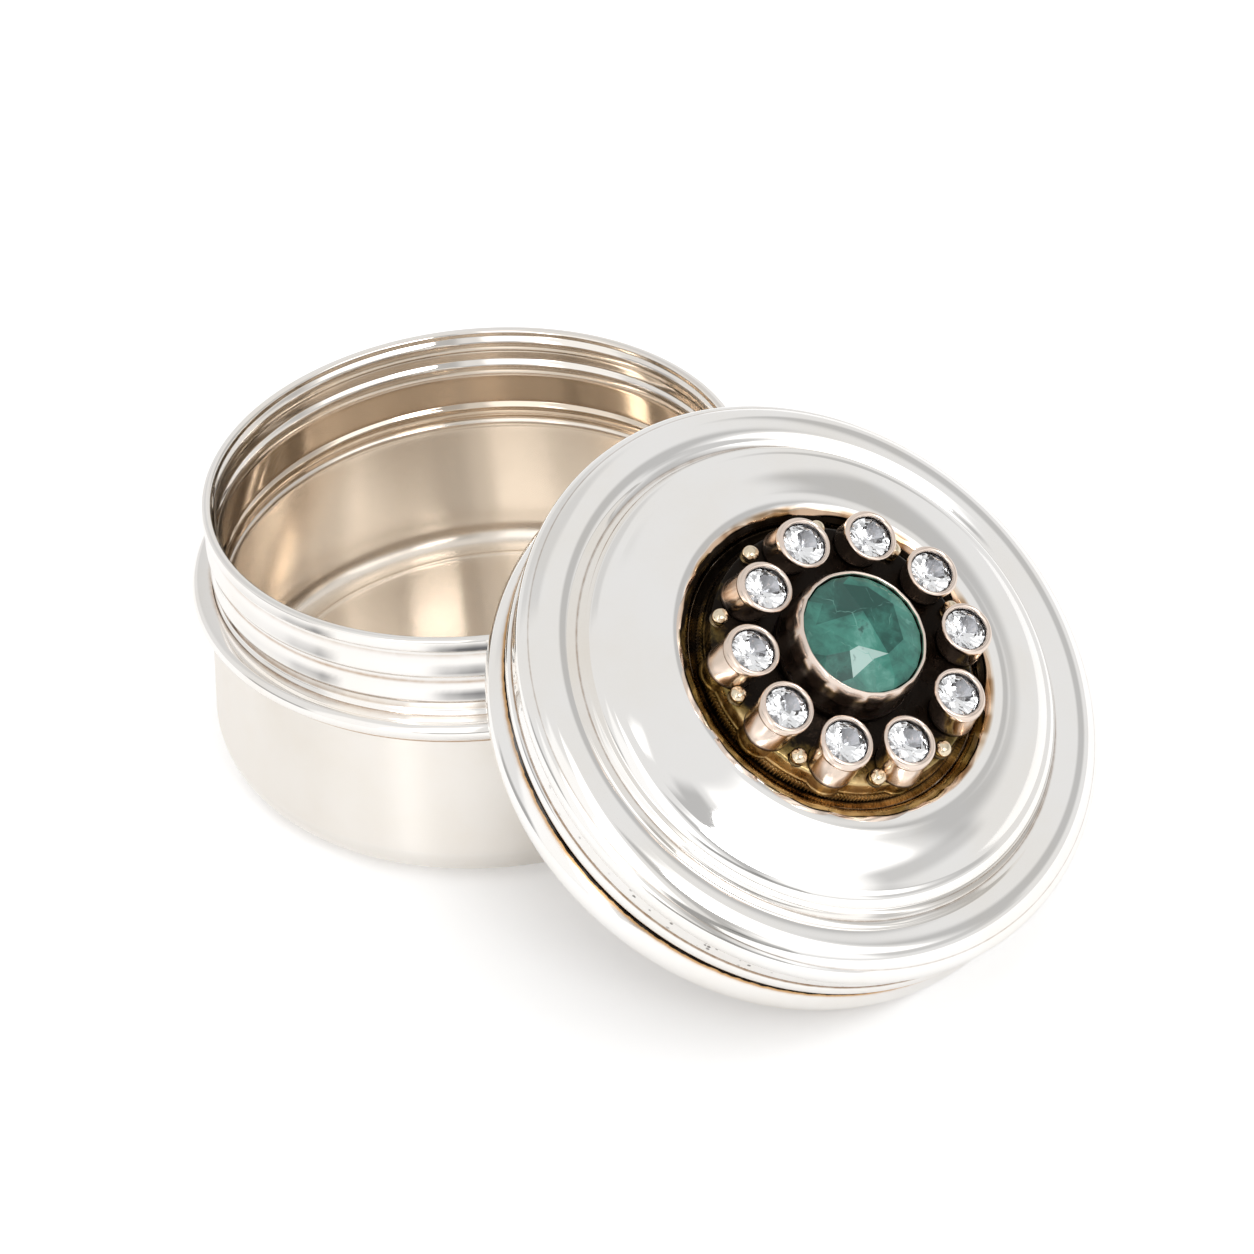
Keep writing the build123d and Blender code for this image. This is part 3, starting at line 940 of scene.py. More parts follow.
@dataclass
class Lid:
    """Lid of sleeve, hoop and the stepped, domed shell, millimetres above its mouth."""

    stand: Stand
    bore: float = 29.25
    collar_wall: float = 0.55
    collar_height: float = 8.6
    seat: float = 0.02
    hoop_height: float = 4.7
    hoop_edge: float = 30.14
    hoop_bulge: float = 0.45
    foot_base: float = 5.45
    foot_height: float = 1.45
    foot_bulge: float = 0.2
    band_radius: float = 30.45
    edge_base: float = 9.35
    edge_height: float = 2.65
    edge_overhang: float = 0.82
    ring_width: float = 4.2
    ring_height: float = 1.25
    ring_drop: float = 0.45
    cove_width: float = 1.1
    cove_depth: float = 0.2
    dome_foot: float = 0.55
    dome_height: float = 3.7
    dome_shoulder: float = 1.75
    dome_swell: float = 0.25
    recess_radius: float = 15.3
    crest_width: float = 3.2
    crest_drop: float = 1.45
    recess_depth: float = 2.75
    wall: float = 0.85
    shell_blur: float = 0.11
    shell_pitch: float = 0.75
    shell_bend: float = 4.8
    band_blur: float = 0.07
    lip_ripple: float = 0.05
    hoop_even: float = 0.15
    hoop_bend: float = 0.75
    bend_heading: float = 163.0

    def crest(self) -> float:
        """Height of the crest above the mouth."""
        ring = self.edge_base + self.edge_height + self.ring_height - self.ring_drop
        return ring + self.dome_foot + self.dome_height

    def shell(self) -> Surface:
        """Shell: beaded foot, band, rolled edge, convex ring, cove, dome and the lip of the recess.

        The lip is hand-burnished: it rises and falls by 0.05 sin(31 a + 2.2 sin 4 a) round it.

        Returns:
            The surface, with its burnished lip and the pits on its band marked.
        """
        bore = self.bore + self.collar_wall + self.seat
        band = self.band_radius
        edge_top = self.edge_base + self.edge_height
        ring_top = edge_top + self.ring_height
        ring_end = ring_top - self.ring_drop
        inner = band - self.ring_width
        foot = inner - self.cove_width
        base = ring_end + self.dome_foot
        crest, recess, wall = self.crest(), self.recess_radius, self.wall
        crest_radius = recess + self.crest_width
        shoulder = (foot - self.dome_shoulder * 0.9, base + self.dome_shoulder)
        flank = ((shoulder[0] + crest_radius) / 2, (shoulder[1] + crest) / 2 + self.dome_swell)
        floor = crest - self.recess_depth
        lip_end = crest - self.crest_drop
        lip = (recess + self.crest_width * 0.25, crest - self.crest_drop * 0.25)
        foot_base, foot_top = self.foot_base, self.foot_base + self.foot_height
        bead = (band + self.foot_bulge, foot_base + self.foot_height / 2)
        roll = (band + self.edge_overhang, self.edge_base + self.edge_height * 0.4)
        ring = (band - self.ring_width * 0.45, ring_top)
        haunch = (foot - self.dome_shoulder * 0.25, base + self.dome_shoulder * 0.62)
        profile = outline(
            (bore, foot_base),
            arc((band, foot_base), bead, (band, foot_top)),
            (band - 0.12, foot_top + 0.12),
            (band - 0.08, foot_top + 0.3),
            (band, foot_top + 0.5),
            (band, self.edge_base - 0.25),
            (band - 0.06, self.edge_base - 0.1),
            arc((band, self.edge_base), roll, (band, edge_top)),
            arc((band, edge_top), ring, (inner, ring_end)),
            (inner - self.cove_width * 0.55, ring_end - self.cove_depth),
            arc((foot, base), haunch, shoulder),
            arc(shoulder, flank, (crest_radius, crest)),
            arc((crest_radius, crest), lip, (recess, lip_end)),
            (recess, floor),
            (recess + wall, floor),
            (recess + wall, lip_end),
            (crest_radius, crest - wall),
            (foot - self.dome_shoulder, base + self.dome_shoulder - wall),
            (foot - wall, base),
            (foot - wall, ring_end - self.cove_depth - wall),
            (inner, ring_end - self.cove_depth - wall),
            (ring[0], ring_top - wall),
            (bore, self.edge_base + self.edge_height * 0.55),
        )
        spots = [
            (inner - self.cove_width * 0.5, ring_end - self.cove_depth, 0.2, 0.5),
            (band, edge_top, 0.12, 0.45),
            (band - 0.1, foot_top + 0.12, 0.18, 0.7),
            # Under the rolled edge and at the foot over the hoop the tarnish runs past 1 to black: brown
            # patina with painted shade at its core.
            (band - 0.06, self.edge_base - 0.1, 0.2, 1.1),
            (bore + 0.35, foot_base, 0.55, 1.3),
            (recess, lip_end - 0.9, 0.6, 0.9),
        ]
        line = soften(profile, self.shell_blur, True, self.shell_pitch, self.shell_bend)
        radius, height = line.T
        rubbed = ramp(radius, recess + 1.6, -0.35)
        burnish = rubbed * (height > lip_end - 0.8) * (facing(line)[:, 1] > -0.4)
        pits = near(line, [(band, self.edge_base - 1.1, 0.7, 1.0)])
        surface = spin(line, self.stand, True, spots, burnish=burnish, pits=pits)
        angle = surface.angles()
        share = bell(radius - recess - 0.7, 0.6) * (height > lip_end - 0.3)
        ripple = self.lip_ripple * np.sin(31 * angle + 2.2 * np.sin(4 * angle))
        ripple = ripple * (0.65 + 0.35 * np.sin(7 * angle))
        surface.shift(ripple * share, self.stand.n)
        return surface

    def hoop(self) -> Surface:
        """Hoop: hand-bent band round the sleeve's foot.

        Its swell is a sine over the height, and 0.15 + 0.75 cos^2(a - 163 degrees) is added on the
        side where it was bent out.

        Returns:
            The surface.
        """
        bore = self.bore + self.collar_wall + self.seat
        top, edge = self.hoop_height, self.hoop_edge
        swell = arc((edge, 0), (edge + self.hoop_bulge, top / 2), (edge, top))
        line = soften(outline((bore, 0), swell, (bore, top)), self.band_blur, True)
        surface = spin(line, self.stand, True, [(edge - 0.1, top, 0.42, 1.3)])
        angle = surface.angles()
        side = np.clip(np.cos(angle - math.radians(self.bend_heading)), 0, None)
        bent = self.hoop_even + self.hoop_bend * side**2
        outside = ramp(line[:, 0] - bore, 0.1, 0.3) * np.sin(np.pi * np.clip(line[:, 1] / top, 0, 1))
        surface.shift(bent * outside, self.stand.spoke(angle))
        return surface

    def sleeve(self) -> Surface:
        """Sleeve: the plain inner wall, seen in the gap above the hoop and from below.

        Returns:
            The surface.
        """
        bore, outer, tall = self.bore, self.bore + self.collar_wall, self.collar_height
        line = soften(outline((bore, 0), (outer, 0), (outer, tall), (bore, tall)), self.band_blur, True)
        # Tarnish in the gap above the hoop, black at its core: brown patina with a painted shadow of the
        # shell's foot.
        gap = [(outer, (self.hoop_height + self.foot_base) / 2, 0.8, 1.3)]
        return spin(line, self.stand, True, gap)

    def build(self, bright: Material, band: Material, inner: Material) -> None:
        """Makes and dresses the lid's metal.

        Args:
            bright: finish of the shell.
            band: finish of the hoop.
            inner: finish of the sleeve.
        """
        publish(self.shell().mesh("lid_dome"), bright, Body.LID, "lid_shell")
        publish(self.hoop().mesh("lid_hoop_band"), band, Body.LID, "lid_hoop")
        publish(self.sleeve().mesh("lid_sleeve"), inner, Body.LID, "lid_collar")


# ---------------------------------------------------------------- the setting


def facet_mesh(
    name: str, points: Array, faces: Sequence[Sequence[int]], tones: Optional[Array] = None
) -> Mesh:
    """A flat-faced mesh with a tone for each face.

    Args:
        name: name of the mesh.
        points: corners in the row frame.
        faces: corner numbers of each face, counter-clockwise from outside.
        tones: value per face.

    Returns:
        The mesh.
    """
    mesh = bpy.data.meshes.new(name)
    mesh.from_pydata(points.tolist(), [], [list(map(int, face)) for face in faces])
    if tones is not None:
        mark = mesh.attributes.new("tone", "FLOAT", "FACE")
        mark.data.foreach_set("value", np.asarray(tones, np.float32))
    mesh.update()
    return mesh


CROWN_CORNERS = np.array(
    [
        (1.75, 5.05),
        (3.70, 3.40),
        (4.70, 0.60),
        (2.76, -2.80),
        (0.13, -3.08),
        (-1.54, -2.68),
        (-2.09, -0.81),
        (-3.14, -0.67),
        (-4.43, -2.92),
        (-1.74, 4.59),
        (-0.58, -5.19),
        (-5.20, 0.30),
        (-3.9, 3.3),
        (0.9, 1.7),
    ]
)
CROWN_EDGES = ((7, 6), (6, 5), (5, 8), (8, 7), (5, 4), (4, 3), (3, 2), (2, 1))
# Tone of the facets near each place; a tone above 0.85 gets a painted whitish reflection.
CROWN_TONES = np.array(
    [
        (-2.80, -2.00, 1.00),
        (-1.47, -3.82, 0.72),
        (-4.12, -3.88, 0.66),
        (-5.04, -0.75, 0.22),
        (-4.62, 2.43, 0.50),
        (-0.58, 0.47, 0.62),
        (1.76, 1.87, 0.15),
        (0.58, 4.05, 0.30),
        (4.40, 3.93, 0.68),
        (5.60, 1.40, 0.74),
        (4.73, -2.55, 0.62),
        (2.90, -0.90, 0.26),
        (1.58, -5.13, 0.58),
    ]
)


@dataclass
class Setting:
    """Jewelled setting in the lid's recess, millimetres above the lid's mouth."""

    stand: Stand
    floor: float = 14.3
    recess: float = 15.3
    dish_thickness: float = 0.8
    dish_rim: float = 0.5
    plate_radius: float = 14.4
    plate_thickness: float = 1.2
    step_radius: float = 13.9
    step_height: float = 1.8
    lobe: float = 2.2
    wires: int = 240
    count: int = 10
    turn: float = 6.4
    ring_radius: float = 12.2
    lean: float = 0.95
    out_shifts: tuple[float, ...] = (
        0.75, 0.35, -0.43, -0.98, 0.28, 0.37, 0.14, 0.03, 0.04, 0.74
    )
    side_shifts: tuple[float, ...] = (
        -0.23, -0.52, -0.01, 0.45, 0.84, 0.07, -0.49, -0.89, 0.41, 0.59
    )
    tube_radius: float = 2.75
    tube_wall: float = 0.55
    tube_foot: float = 2.4
    tube_height: float = 3.95
    stone_radius: float = 2.13
    granule_radius: float = 0.85
    granule_step: float = 1.1
    collet_radius: float = 6.9
    collet_wall: float = 0.6
    collet_height: float = 5.1
    gem_depth: float = 0.5
    gem_rise: float = 1.35
    gem_sides: int = 20
    gem_belt: float = 0.25
    gem_tip: float = 3.6
    near_side: float = 226.0
    milling: float = 0.1
    dent: float = 0.06
    metal_blur: float = 0.08
    tube_turns: int = 72
    granule_turns: int = 40

    def plate_top(self) -> float:
        """Height of the plate's upper face."""
        return self.floor + self.dish_thickness + self.plate_thickness + self.step_height

    def angles(self) -> Array:
        """Angles of the tubes round the lid, radians."""
        return np.radians(self.turn + 360.0 / self.count * np.arange(self.count))

    def spots(self, radius: float) -> Array:
        """Places of the tubes at a radius: the spoke plus a listed shift out and one aside.

        Args:
            radius: radius of the even ring.

        Returns:
            Places (x, y) in the lid's plane, of shape (count, 2).
        """
        angle, out = self.angles(), radius + np.array(self.out_shifts)
        side = np.array(self.side_shifts)
        x = out * np.cos(angle) - side * np.sin(angle)
        return np.stack([x, out * np.sin(angle) + side * np.cos(angle)], -1)

    def dish(self) -> Surface:
        """Dish: shallow tray whose rim slopes from the lip down to the plate.

        Returns:
            The surface, blackened on its far side.
        """
        radius, top = self.recess - 0.02, self.floor + self.dish_thickness
        slope = [(radius, top + self.dish_rim), (radius - 0.55, top + 0.12), (radius - 1.2, top)]
        profile = outline(
            (0, self.floor),
            (radius, self.floor),
            (radius, top + self.dish_rim),
            arc(*slope, SHORT_ARC),
            (0, top),
        )
        line = soften(profile, self.metal_blur, False)
        surface = spin(line, self.stand, False, burnish=np.ones(len(line)))
        far = 0.5 - 0.5 * np.cos(surface.angles() - math.radians(self.near_side + 25.0))
        corner = near(line, [(self.plate_radius - 0.2, top, 0.45, 1.0)])
        surface.marks["tarnish"] = corner + 0.75 * far**1.5
        return surface

    def plate(self) -> Surface:
        """Plate: a disc with a milled edge that carries a step with a lobe at each tube.

        The step's edge at angle a is the farthest of its disc and of the ray's far crossings with
        the lobes, c cos d + sqrt(r^2 - c^2 sin^2 d), with c the lobe's distance and d the angle
        from its middle. The disc's edge has the ribs of a milled wire, 0.1 cos(240 a) deep.

        Returns:
            The surface, with the film marked on the near side.
        """
        angle = turn_angles(self.wires * 6)
        feet = self.spots(self.ring_radius)
        far = np.linalg.norm(feet, axis=1)
        off = angle - np.arctan2(feet[:, 1], feet[:, 0])
        root = self.lobe**2 - (far * np.sin(off)) ** 2
        hit = (root > 0) & (np.cos(off) > 0)
        reach = np.where(hit, far * np.cos(off) + np.sqrt(np.clip(root, 0, None)), 0)
        step = np.maximum(self.step_radius, reach.max(1))[:, None]
        disc = self.plate_radius - self.milling + self.milling * np.cos(self.wires * angle)
        low = self.floor + self.dish_thickness
        middle, top = low + self.plate_thickness, self.plate_top()
        rim = [
            (-0.2, low),
            (-0.05, low + 0.05),
            (0, low + 0.25),
            (0, middle - 0.35),
            (-0.08, middle - 0.12),
            (-0.3, middle),
        ]
        edge = [
            (0.3, middle),
            (0.1, middle + 0.12),
            (0.02, middle + 0.4),
            (0, top - 0.3),
            (-0.09, top - 0.09),
            (-0.3, top),
        ]
        shares = (0.93, 0.86, 0.78, 0.65, 0.4, 0.0)
        rise = np.array([low] + [z for _, z in rim + edge] + [top] * len(shares))
        radius = [np.zeros_like(step)] + [disc + r for r, _ in rim] + [step + r for r, _ in edge]
        grid = np.concatenate(radius + [step * share for share in shares], 1)
        points = self.stand.polar(grid, angle, rise[None])
        side = 0.5 + 0.5 * np.cos(angle - math.radians(self.near_side))
        film = bell(grid - step, 2.2) * (0.1 + 0.75 * side**1.5)
        return Surface(points, False, np.arange(len(rise)) * 0.4, {"tarnish": film})

    def collet(self) -> Surface:
        """Collet: plain tube whose rim is pushed over the stone, with shallow tool marks round it.

        The marks are dents of 0.06 |sin(9.5 a + 0.8 sin 3 a)| that fade away from the rim.

        Returns:
            The surface.
        """
        top = self.plate_top()
        rim = top + self.collet_height
        outer, bore = self.collet_radius, self.collet_radius - self.collet_wall
        brow = [(outer + 0.18, rim - 1.7), (outer - 0.06, rim - 0.6), (outer - 0.38, rim - 0.03)]
        profile = outline(
            (bore - 0.5, top),
            (outer + 0.5, top),
            (outer + 0.45, top + 0.4),
            (outer + 0.3, rim - 2.3),
            arc(*brow, SHORT_ARC),
            (bore + 0.02, rim - 0.15),
            (bore, rim - 1.6),
            (bore - 0.5, rim - 1.9),
        )
        spots = [(outer + 0.4, top, 0.9, 1.0), (bore, rim - 1.0, 0.6, 1.0)]
        surface = spin(soften(profile, self.metal_blur, True), self.stand, True, spots)
        angle = surface.angles()
        height = (surface.points - self.stand.origin) @ self.stand.n / MM
        share = bell(height - rim + 0.7, 0.8)
        dents = self.dent * np.abs(np.sin(angle * 9.5 + 0.8 * np.sin(3 * angle))) * share
        surface.shift(-dents, self.stand.spoke(angle))
        return surface

    def tube_stand(self, index: int) -> Stand:
        """Frame at the middle of a tube's rim, with u along its spoke.

        Args:
            index: number of the tube from 0.

        Returns:
            The frame, with its axis along the lid's.
        """
        angle = float(self.angles()[index])
        x, y = self.spots(self.ring_radius - self.lean)[index]
        rim = self.stand.place(x, y, self.plate_top() + self.tube_height)
        u = math.cos(angle) * self.stand.u + math.sin(angle) * self.stand.w
        return Stand(rim, u, np.cross(self.stand.n, u), self.stand.n)

    def tube(self, index: int) -> Surface:
        """Tube: a leaning cup whose rim is rolled over its stone.

        Each row is a circle in the lid's plane. Its radius grows evenly from foot to rim, and
        outside its middle moves out along the spoke by lean * (depth below the rim / height).

        Args:
            index: number of the tube from 0.

        Returns:
            The surface, with its tarnish mark, darker toward the foot and in a ring at the seat, and its
            inner side marked.
        """
        stand = self.tube_stand(index)
        tall, foot, radius = self.tube_height, self.tube_foot, self.tube_radius
        bore = radius - self.tube_wall
        slope = (radius - foot) / tall
        wall = outline(
            (0, -tall),
            (foot + 0.06, -tall),
            (foot + 0.05, 0.1 - tall),
            (foot + 0.45 * slope, 0.45 - tall),
            (radius - 0.95 * slope - 0.04, -0.95),
            (radius - 0.05, -0.86),
            (radius, -0.74),
            arc((radius, -0.42), (radius - 0.1, -0.1), (radius - 0.3, 0.0), SHORT_ARC),
        )
        seat = outline(
            (radius - 0.32, 0.0),
            (bore + 0.05, -0.2),
            (bore, -0.32),
            (bore, -0.75),
            (bore - 0.35, -1.2),
            (bore - 0.35, -2.6),
            (0, -2.75),
        )
        outer, inner = soften(wall, 0.06, False), soften(seat, 0.05, False)
        rows = np.concatenate([outer, inner])
        height = rows[:, 1]
        outside = np.arange(len(rows)) < len(outer)
        points = stand.polar(rows[None, :, 0], turn_angles(self.tube_turns), height[None])
        # Tarnish mark: darker toward the foot outside, and in a ring at the seat under the rim inside.
        darker_at_foot_and_seat = np.where(outside, np.exp(-((height + tall) / 0.4)), bell(height + 0.5, 0.22))
        marks = {"tarnish": darker_at_foot_and_seat, "inner": np.where(outside | (height > -0.3), 0.0, 1.0)}
        surface = Surface(points, False, run_length(rows, False), marks)
        surface.shift((np.where(outside, -height / tall, 0.0) * self.lean)[None], stand.u)
        return surface

    def brilliant(self, index: int) -> tuple[Array, list[list[int]]]:
        """A round brilliant: table, stars, kites and girdle facets over eight pavilion mains.

        Rings of corners: table 8, crown 8 half a step on, girdle 16, pavilion 8, culet 8.

        Args:
            index: number of the stone from 0.

        Returns:
            Corners and faces.
        """
        stand = self.tube_stand(index)
        step = math.pi / 4
        eight, sixteen = np.arange(8) * step, np.arange(16) * step / 2
        girdle = self.stone_radius
        rings = [
            (1.22, eight + step / 2, 0.1),
            (1.74, eight, -0.16),
            (girdle, sixteen, -0.44),
            (girdle, sixteen, -0.54),
            (0.66, eight + step / 2, -1.8),
            (0.02, eight, -2.25),
        ]
        turned = 0.7 * index
        points = [stand.polar(np.full(len(a), r), a + turned, np.full(len(a), h)) for r, a, h in rings]
        table, crown, high, low, deep, culet = 0, 8, 16, 32, 48, 56
        faces: list[list[int]] = [[table + k for k in range(8)], [culet + k for k in range(7, -1, -1)]]
        for k in range(8):
            after, before = (k + 1) % 8, (k - 1) % 8
            here, up, down = 2 * k, (2 * k + 1) % 16, (2 * k - 1) % 16
            faces += [
                [crown + k, table + k, table + before],
                [crown + k, high + here, high + up],
                [crown + k, high + down, high + here],
                [table + k, crown + k, high + up, crown + after],
                [deep + k, low + up, low + here],
                [deep + k, low + (2 * after) % 16, low + up],
                [deep + before, deep + k, low + here],
                [culet + k, culet + after, deep + k],
                [culet + k, deep + k, deep + before],
            ]
        for k in range(16):
            faces.append([high + k, low + k, low + (k + 1) % 16, high + (k + 1) % 16])
        return np.concatenate(points), faces

    def granule(self, index: int) -> Surface:
        """Granule: a ball whose foot is drowned in a small flare of solder.

        Args:
            index: number of the granule from 0.

        Returns:
            The surface.
        """
        angle = float(self.angles()[index]) + math.pi / self.count
        ring, top = self.ring_radius + self.granule_step, self.plate_top()
        middle = self.stand.polar(np.array(ring), np.array(angle), np.array(top))
        stand = Stand(middle, self.stand.u, self.stand.w, self.stand.n)
        size = self.granule_radius
        profile = outline(
            (0, 0),
            (size * 1.05, 0),
            (size * 0.86, 0.12),
            arc((size * 0.8, size * 0.3), (size, size * 0.75), (0, size * 1.7), 21),
        )
        line = soften(profile, 0.05, False, 0.4, 10.0)
        return spin(line, stand, False, [(size, 0.0, 0.5, 1.0)], self.granule_turns)

    def gem(self) -> tuple[Array, list[list[int]], Array]:
        """Large stone: hand-cut crown facets over a shallow pavilion.

        The crown's corners lie on the bowl of revolution rise * (1 - (r / girdle)^2) above the
        girdle, and flat facets span them; each facet takes the tone of the nearest noted place.

        Returns:
            Corners, faces and the tone of each face.
        """
        girdle = self.collet_radius - self.collet_wall - 0.1
        high = self.plate_top() + self.collet_height - self.gem_depth
        sides = self.gem_sides
        turn = np.arange(sides) * (TAU / sides) + 0.1
        edge = girdle * np.stack([np.cos(turn), np.sin(turn)], -1)
        flat = np.vstack([edge, CROWN_CORNERS])
        kept = [(a + sides, b + sides) for a, b in CROWN_EDGES]
        plan = delaunay_2d_cdt([Vector(p) for p in flat.tolist()], kept, [], 0, 1e-6)
        spread = np.array([tuple(p) for p in plan[0]])
        crown = np.array(plan[2])
        shape = spread[crown]
        way = np.cross(shape[:, 1] - shape[:, 0], shape[:, 2] - shape[:, 0])
        crown = np.where(way[:, None] > 0, crown, crown[:, ::-1])
        rise = self.gem_rise * (1 - (np.linalg.norm(spread, axis=1) / girdle) ** 2)
        upper = self.stand.place(spread[:, 0], spread[:, 1], high + rise)
        lower = self.stand.place(edge[:, 0], edge[:, 1], np.full(sides, high - self.gem_belt))
        tip = self.stand.place(0.0, 0.0, high - self.gem_tip)[None]
        first, last = len(upper), len(upper) + sides
        k = np.arange(sides)
        after = (k + 1) % sides
        belt = np.stack([first + k, first + after, after, k], -1)
        cone = np.stack([first + after, first + k, np.full(sides, last)], -1)
        faces = crown.tolist() + belt.tolist() + cone.tolist()
        middle = spread[crown].mean(1)
        noted = np.argmin(np.linalg.norm(middle[:, None] - CROWN_TONES[None, :, :2], axis=-1), 1)
        tones = np.concatenate([CROWN_TONES[noted, 2], np.full(2 * sides, 0.4)])
        return np.vstack([upper, lower, tip]), faces, tones

    def build(self, pale: Material, rose: Material, gilt: Material, dark: Material) -> None:
        """Makes and dresses the setting.

        Args:
            pale: finish of the granules.
            rose: finish of tubes and collet.
            gilt: finish of the dish.
            dark: finish of the plate.
        """
        publish(self.dish().mesh("recess_dish"), gilt, Body.LID, "setting_dish")
        publish(self.plate().mesh("lobed_plate"), dark, Body.LID, "setting_plate")
        publish(self.collet().mesh("collet"), rose, Body.LID, "centre_collet")
        green = GreenStone("green_stone").material()
        publish(facet_mesh("large_stone", *self.gem()), green, Body.LID, "centre_stone")
        clear = ClearStone("clear_stone").material()
        for index in range(self.count):
            tag = f"{index + 1:02d}"
            tube = self.tube(index).mesh(f"tube_{tag}")
            publish(tube, rose, Body.LID, f"tube_setting_{tag}")
            stone = facet_mesh(f"stone_{tag}", *self.brilliant(index))
            publish(stone, clear, Body.LID, f"clear_stone_{tag}")
            ball = self.granule(index).mesh(f"ball_{tag}")
            publish(ball, pale, Body.LID, f"granule_{tag}")


# ---------------------------------------------------------------- the studio


@dataclass(frozen=True)
class Card:
    """A soft-edged panel of the studio that is lighter or greyer than its surroundings.

    Attributes:
        azimuth: middle in degrees, 0 along +X and 90 along +Y.
        elevation: middle in degrees above the horizon.
        width: degrees from side to side.
        height: degrees from bottom to top.
        edge: degrees over which it fades.
        gain: brightness that it adds.
    """

    azimuth: float
    elevation: float
    width: float
    height: float
    edge: float
    gain: float


def set_frame(thing: bpy.types.Object, x: Array, y: Array, z: Array, place: Array) -> None:
    """Turns an object to three axes and moves it to a place.

    Args:
        thing: lamp or camera, which looks along its own -Z.
        x: direction of its X axis.
        y: direction of its Y axis.
        z: direction of its Z axis.
        place: where it stands, metres.
    """
    turn = np.eye(4)
    turn[:3, :4] = np.stack([x, y, z, place], -1)
    thing.matrix_world = Matrix(turn.tolist())


@dataclass
class Studio:
    """Pale table, white surroundings with soft panels, and the camera of the photograph."""

    base: float = 0.82
    cards: tuple[Card, ...] = (
        Card(-44.0, 36.0, 40.0, 32.0, 4.0, 0.80),
        Card(-60.0, 12.0, 36.0, 14.0, 3.0, 0.30),
        Card(-112.0, 38.0, 28.0, 56.0, 3.0, 0.60),
        Card(-79.0, 30.0, 16.0, 46.0, 3.0, -0.30),
        Card(-142.0, 24.0, 34.0, 50.0, 4.0, 0.22),
        Card(-125.0, 8.0, 8.0, 36.0, 3.0, 2.00),
        Card(-24.0, 14.0, 30.0, 10.0, 3.0, -0.20),
        Card(20.0, 30.0, 74.0, 24.0, 5.0, -0.28),
        Card(125.0, 46.0, 60.0, 36.0, 8.0, -0.13),
        Card(-90.0, 4.0, 46.0, 10.0, 2.0, -0.45),
        Card(-172.0, 5.0, 28.0, 12.0, 4.0, -0.40),
    )
    fill: float = 1.0
    sheet_lift: float = 0.06
    sheet_white: float = 0.22
    eye: tuple[float, float, float] = (14.80212, -324.71982, 255.10999)
    pitch: float = 37.17857
    roll: float = -4.935334
    lens: float = 107.02
    lamp_place: tuple[float, float, float] = (0.31, -0.66, 0.53)
    lamp_size: float = 0.3
    lamp_watts: float = 1.2
    table_reach: float = 1.5
    table_drop: float = 0.0001

    def surroundings(self) -> None:
        """World: a base brightness plus the panels, plain white to the camera.

        A panel adds gain * f(|azimuth - middle|) * f(|elevation - middle|), where f falls from 1 to
        0 over the panel's soft edge; azimuth is atan2(y, x) and elevation asin(z) of the direction.
        """
        world = bpy.data.worlds.new("studio")
        bpy.context.scene.world = world
        world.use_nodes = True
        sky = Nodes(world.node_tree)
        way = sky.add("SeparateXYZ", {0: sky.add("TexCoord").outputs["Generated"]}).outputs
        azimuth = sky.math("ARCTAN2", way["Y"], way["X"])
        elevation = sky.math("ARCSINE", way["Z"])
        total: Any = None
        for card in self.cards:
            around = sky.math("SUBTRACT", azimuth, math.radians(card.azimuth))
            around = sky.add("Math", {0: around, 1: math.pi, 2: -math.pi}, operation="WRAP").outputs[0]
            above = sky.math("SUBTRACT", elevation, math.radians(card.elevation))
            share: Any = None
            for offset, size in ((around, card.width), (above, card.height)):
                end, start = (math.radians(size / 2 + k * card.edge) for k in (1, -1))
                fade = sky.span(sky.math("ABSOLUTE", offset), start, end, 1.0, 0.0)
                share = fade if share is None else sky.math("MULTIPLY", share, fade)
            level = sky.math("MULTIPLY", share, card.gain)
            total = sky.math("ADD", level, self.base if total is None else total)
        path = sky.add("LightPath").outputs
        level = sky.add("Mix", {0: path["Is Diffuse Ray"], 2: total, 3: self.fill}).outputs[0]
        level = sky.add("Mix", {0: path["Is Camera Ray"], 2: level, 3: 1.0}).outputs[0]
        back = sky.add("Background", {"Color": (1.0, 1.0, 1.0), "Strength": level})
        sky.add("OutputWorld", {0: back.outputs[0]})

    def table(self) -> None:
        """Table: a wide pale sheet that keeps the shadow, lifted to white where it is seen."""
        cells = 12
        span = np.linspace(-self.table_reach, self.table_reach, cells + 1)
        x, y = np.meshgrid(span, span, indexing="ij")
        points = np.stack([x, y, np.full_like(x, -self.table_drop)], -1).reshape(-1, 3)
        start = (np.arange(cells)[:, None] * (cells + 1) + np.arange(cells)).ravel()
        faces = np.stack([start, start + cells + 1, start + cells + 2, start + 1], -1)
        mesh = bpy.data.meshes.new("table")
        mesh.from_pydata(points.tolist(), [], faces.tolist())
        s = Shader("table_sheet")
        path = s.add("LightPath").outputs
        seen = s.math("ADD", path["Is Glossy Ray"], path["Is Transmission Ray"], clamp=True)
        lift = s.math("MULTIPLY", path["Is Camera Ray"], self.sheet_white)
        lift = s.math("ADD", lift, s.math("MULTIPLY", seen, self.sheet_lift))
        s.dress(Base_Color=(0.95, 0.95, 0.95), Roughness=0.9, Specular_IOR_Level=0.1)
        s.dress(Emission_Color=(1.0, 1.0, 1.0), Emission_Strength=lift)
        mesh.materials.append(s.material)
        enter("table", mesh)

    def lamp(self) -> None:
        """A small soft lamp in front on the left, for the sparkle on stones and granules."""
        light = bpy.data.lights.new("soft_box", "AREA")
        light.shape = "DISK"
        light.size = self.lamp_size
        light.energy = self.lamp_watts
        place = np.array(self.lamp_place)
        way = place / np.linalg.norm(place)
        side = np.cross([0.0, 0.0, 1.0], way)
        side /= np.linalg.norm(side)
        set_frame(enter("soft_box", light), side, np.cross(way, side), way, place)

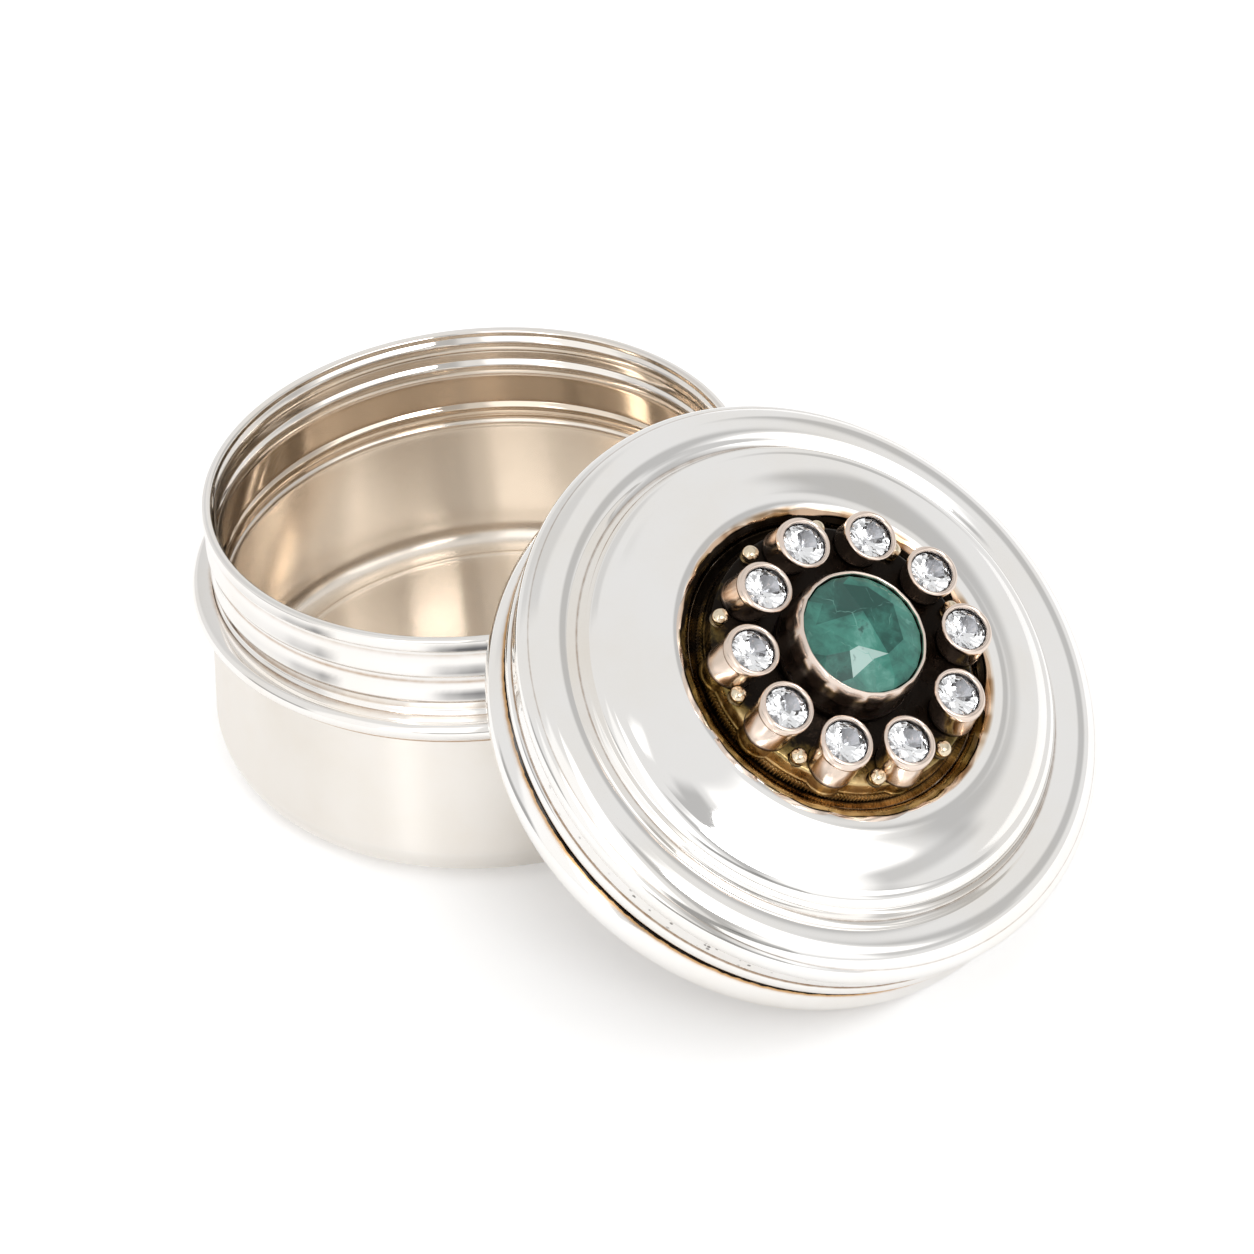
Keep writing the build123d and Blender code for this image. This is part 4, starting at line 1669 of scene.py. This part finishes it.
    def camera(self) -> None:
        """Camera: looks along +Y and down by the pitch, then rolls about its own axis."""
        pitch, roll = math.radians(self.pitch), math.radians(self.roll)
        right, up = np.array([1.0, 0, 0]), np.array([0, math.sin(pitch), math.cos(pitch)])
        forward = np.array([0, math.cos(pitch), -math.sin(pitch)])
        x = math.cos(roll) * right + math.sin(roll) * up
        y = -math.sin(roll) * right + math.cos(roll) * up
        data = bpy.data.cameras.new("camera")
        data.sensor_width = 36.0
        data.lens = self.lens
        data.clip_start = 0.01
        camera = enter("camera", data)
        set_frame(camera, x, y, -forward, np.array(self.eye) * MM)
        bpy.context.scene.camera = camera

    def build(self) -> None:
        """Sets the view transform and makes world, table, lamp and camera."""
        bpy.context.scene.view_settings.view_transform = "Standard"
        self.surroundings()
        self.table()
        self.lamp()
        self.camera()


def main() -> None:
    """Builds the box and its studio."""
    logging.basicConfig(level=logging.INFO, format="%(message)s")
    satin = Silver(
        "satin_bowl",
        metal=(0.955, 0.92, 0.872),
        inside=(0.91, 0.83, 0.735),
        gloss=0.34,
        inner_gloss=-0.16,
        cloud=0.04,
        turned=0.93,
        wave=0.006,
    ).material()
    neck = Silver(
        "rolled_neck",
        metal=(0.955, 0.93, 0.9),
        inside=(0.80, 0.69, 0.57),
        # The two dark greys below paint a dark reflection on the neck's ridges.
        burnished_and_painted_dark=(0.12, 0.12, 0.125),
        rub_streak_and_painted_dark=(0.12, 0.12, 0.125),
        film=(0.50, 0.34, 0.22),
        gloss=0.04,
        wave=0.004,
    ).material()
    bright = Silver(
        "polished_lid",
        burnished_and_painted_dark=(0.90, 0.75, 0.60),
        rub_streak_and_painted_dark=(0.40, 0.25, 0.13),
        film=(0.30, 0.18, 0.09),
        gloss=0.04,
        cloud=0.03,
    ).material()
    band = Silver("hoop_silver", film=(0.62, 0.37, 0.17), gloss=0.05, cloud=0.03).material()
    inner = Silver(
        "sleeve_silver", metal=(0.9, 0.8, 0.66), film=(0.50, 0.26, 0.10), gloss=0.25
    ).material()
    rose = Silver(
        "rose_silver",
        metal=(0.85, 0.72, 0.63),
        inside=(0.50, 0.50, 0.52),
        film=(0.06, 0.036, 0.02),
        gloss=0.16,
    ).material()
    pale = Silver(
        "granule_silver", metal=(0.80, 0.69, 0.52), film=(0.16, 0.11, 0.05), gloss=0.05
    ).material()
    gilt = Silver(
        "recess_silver",
        burnished_and_painted_dark=(0.74, 0.55, 0.37),
        rub_streak_and_painted_dark=(0.30, 0.19, 0.10),
        film=(0.03, 0.02, 0.012),
        gloss=0.12,
    ).material()
    dark = Oxidised("oxidised_recess").material()
    stand = Lean().stand()
    Cup().build(satin, neck)
    Lid(stand).build(bright, band, inner)
    Setting(stand).build(pale, rose, gilt, dark)
    Studio().build()


if __name__ == "__main__":
    main()
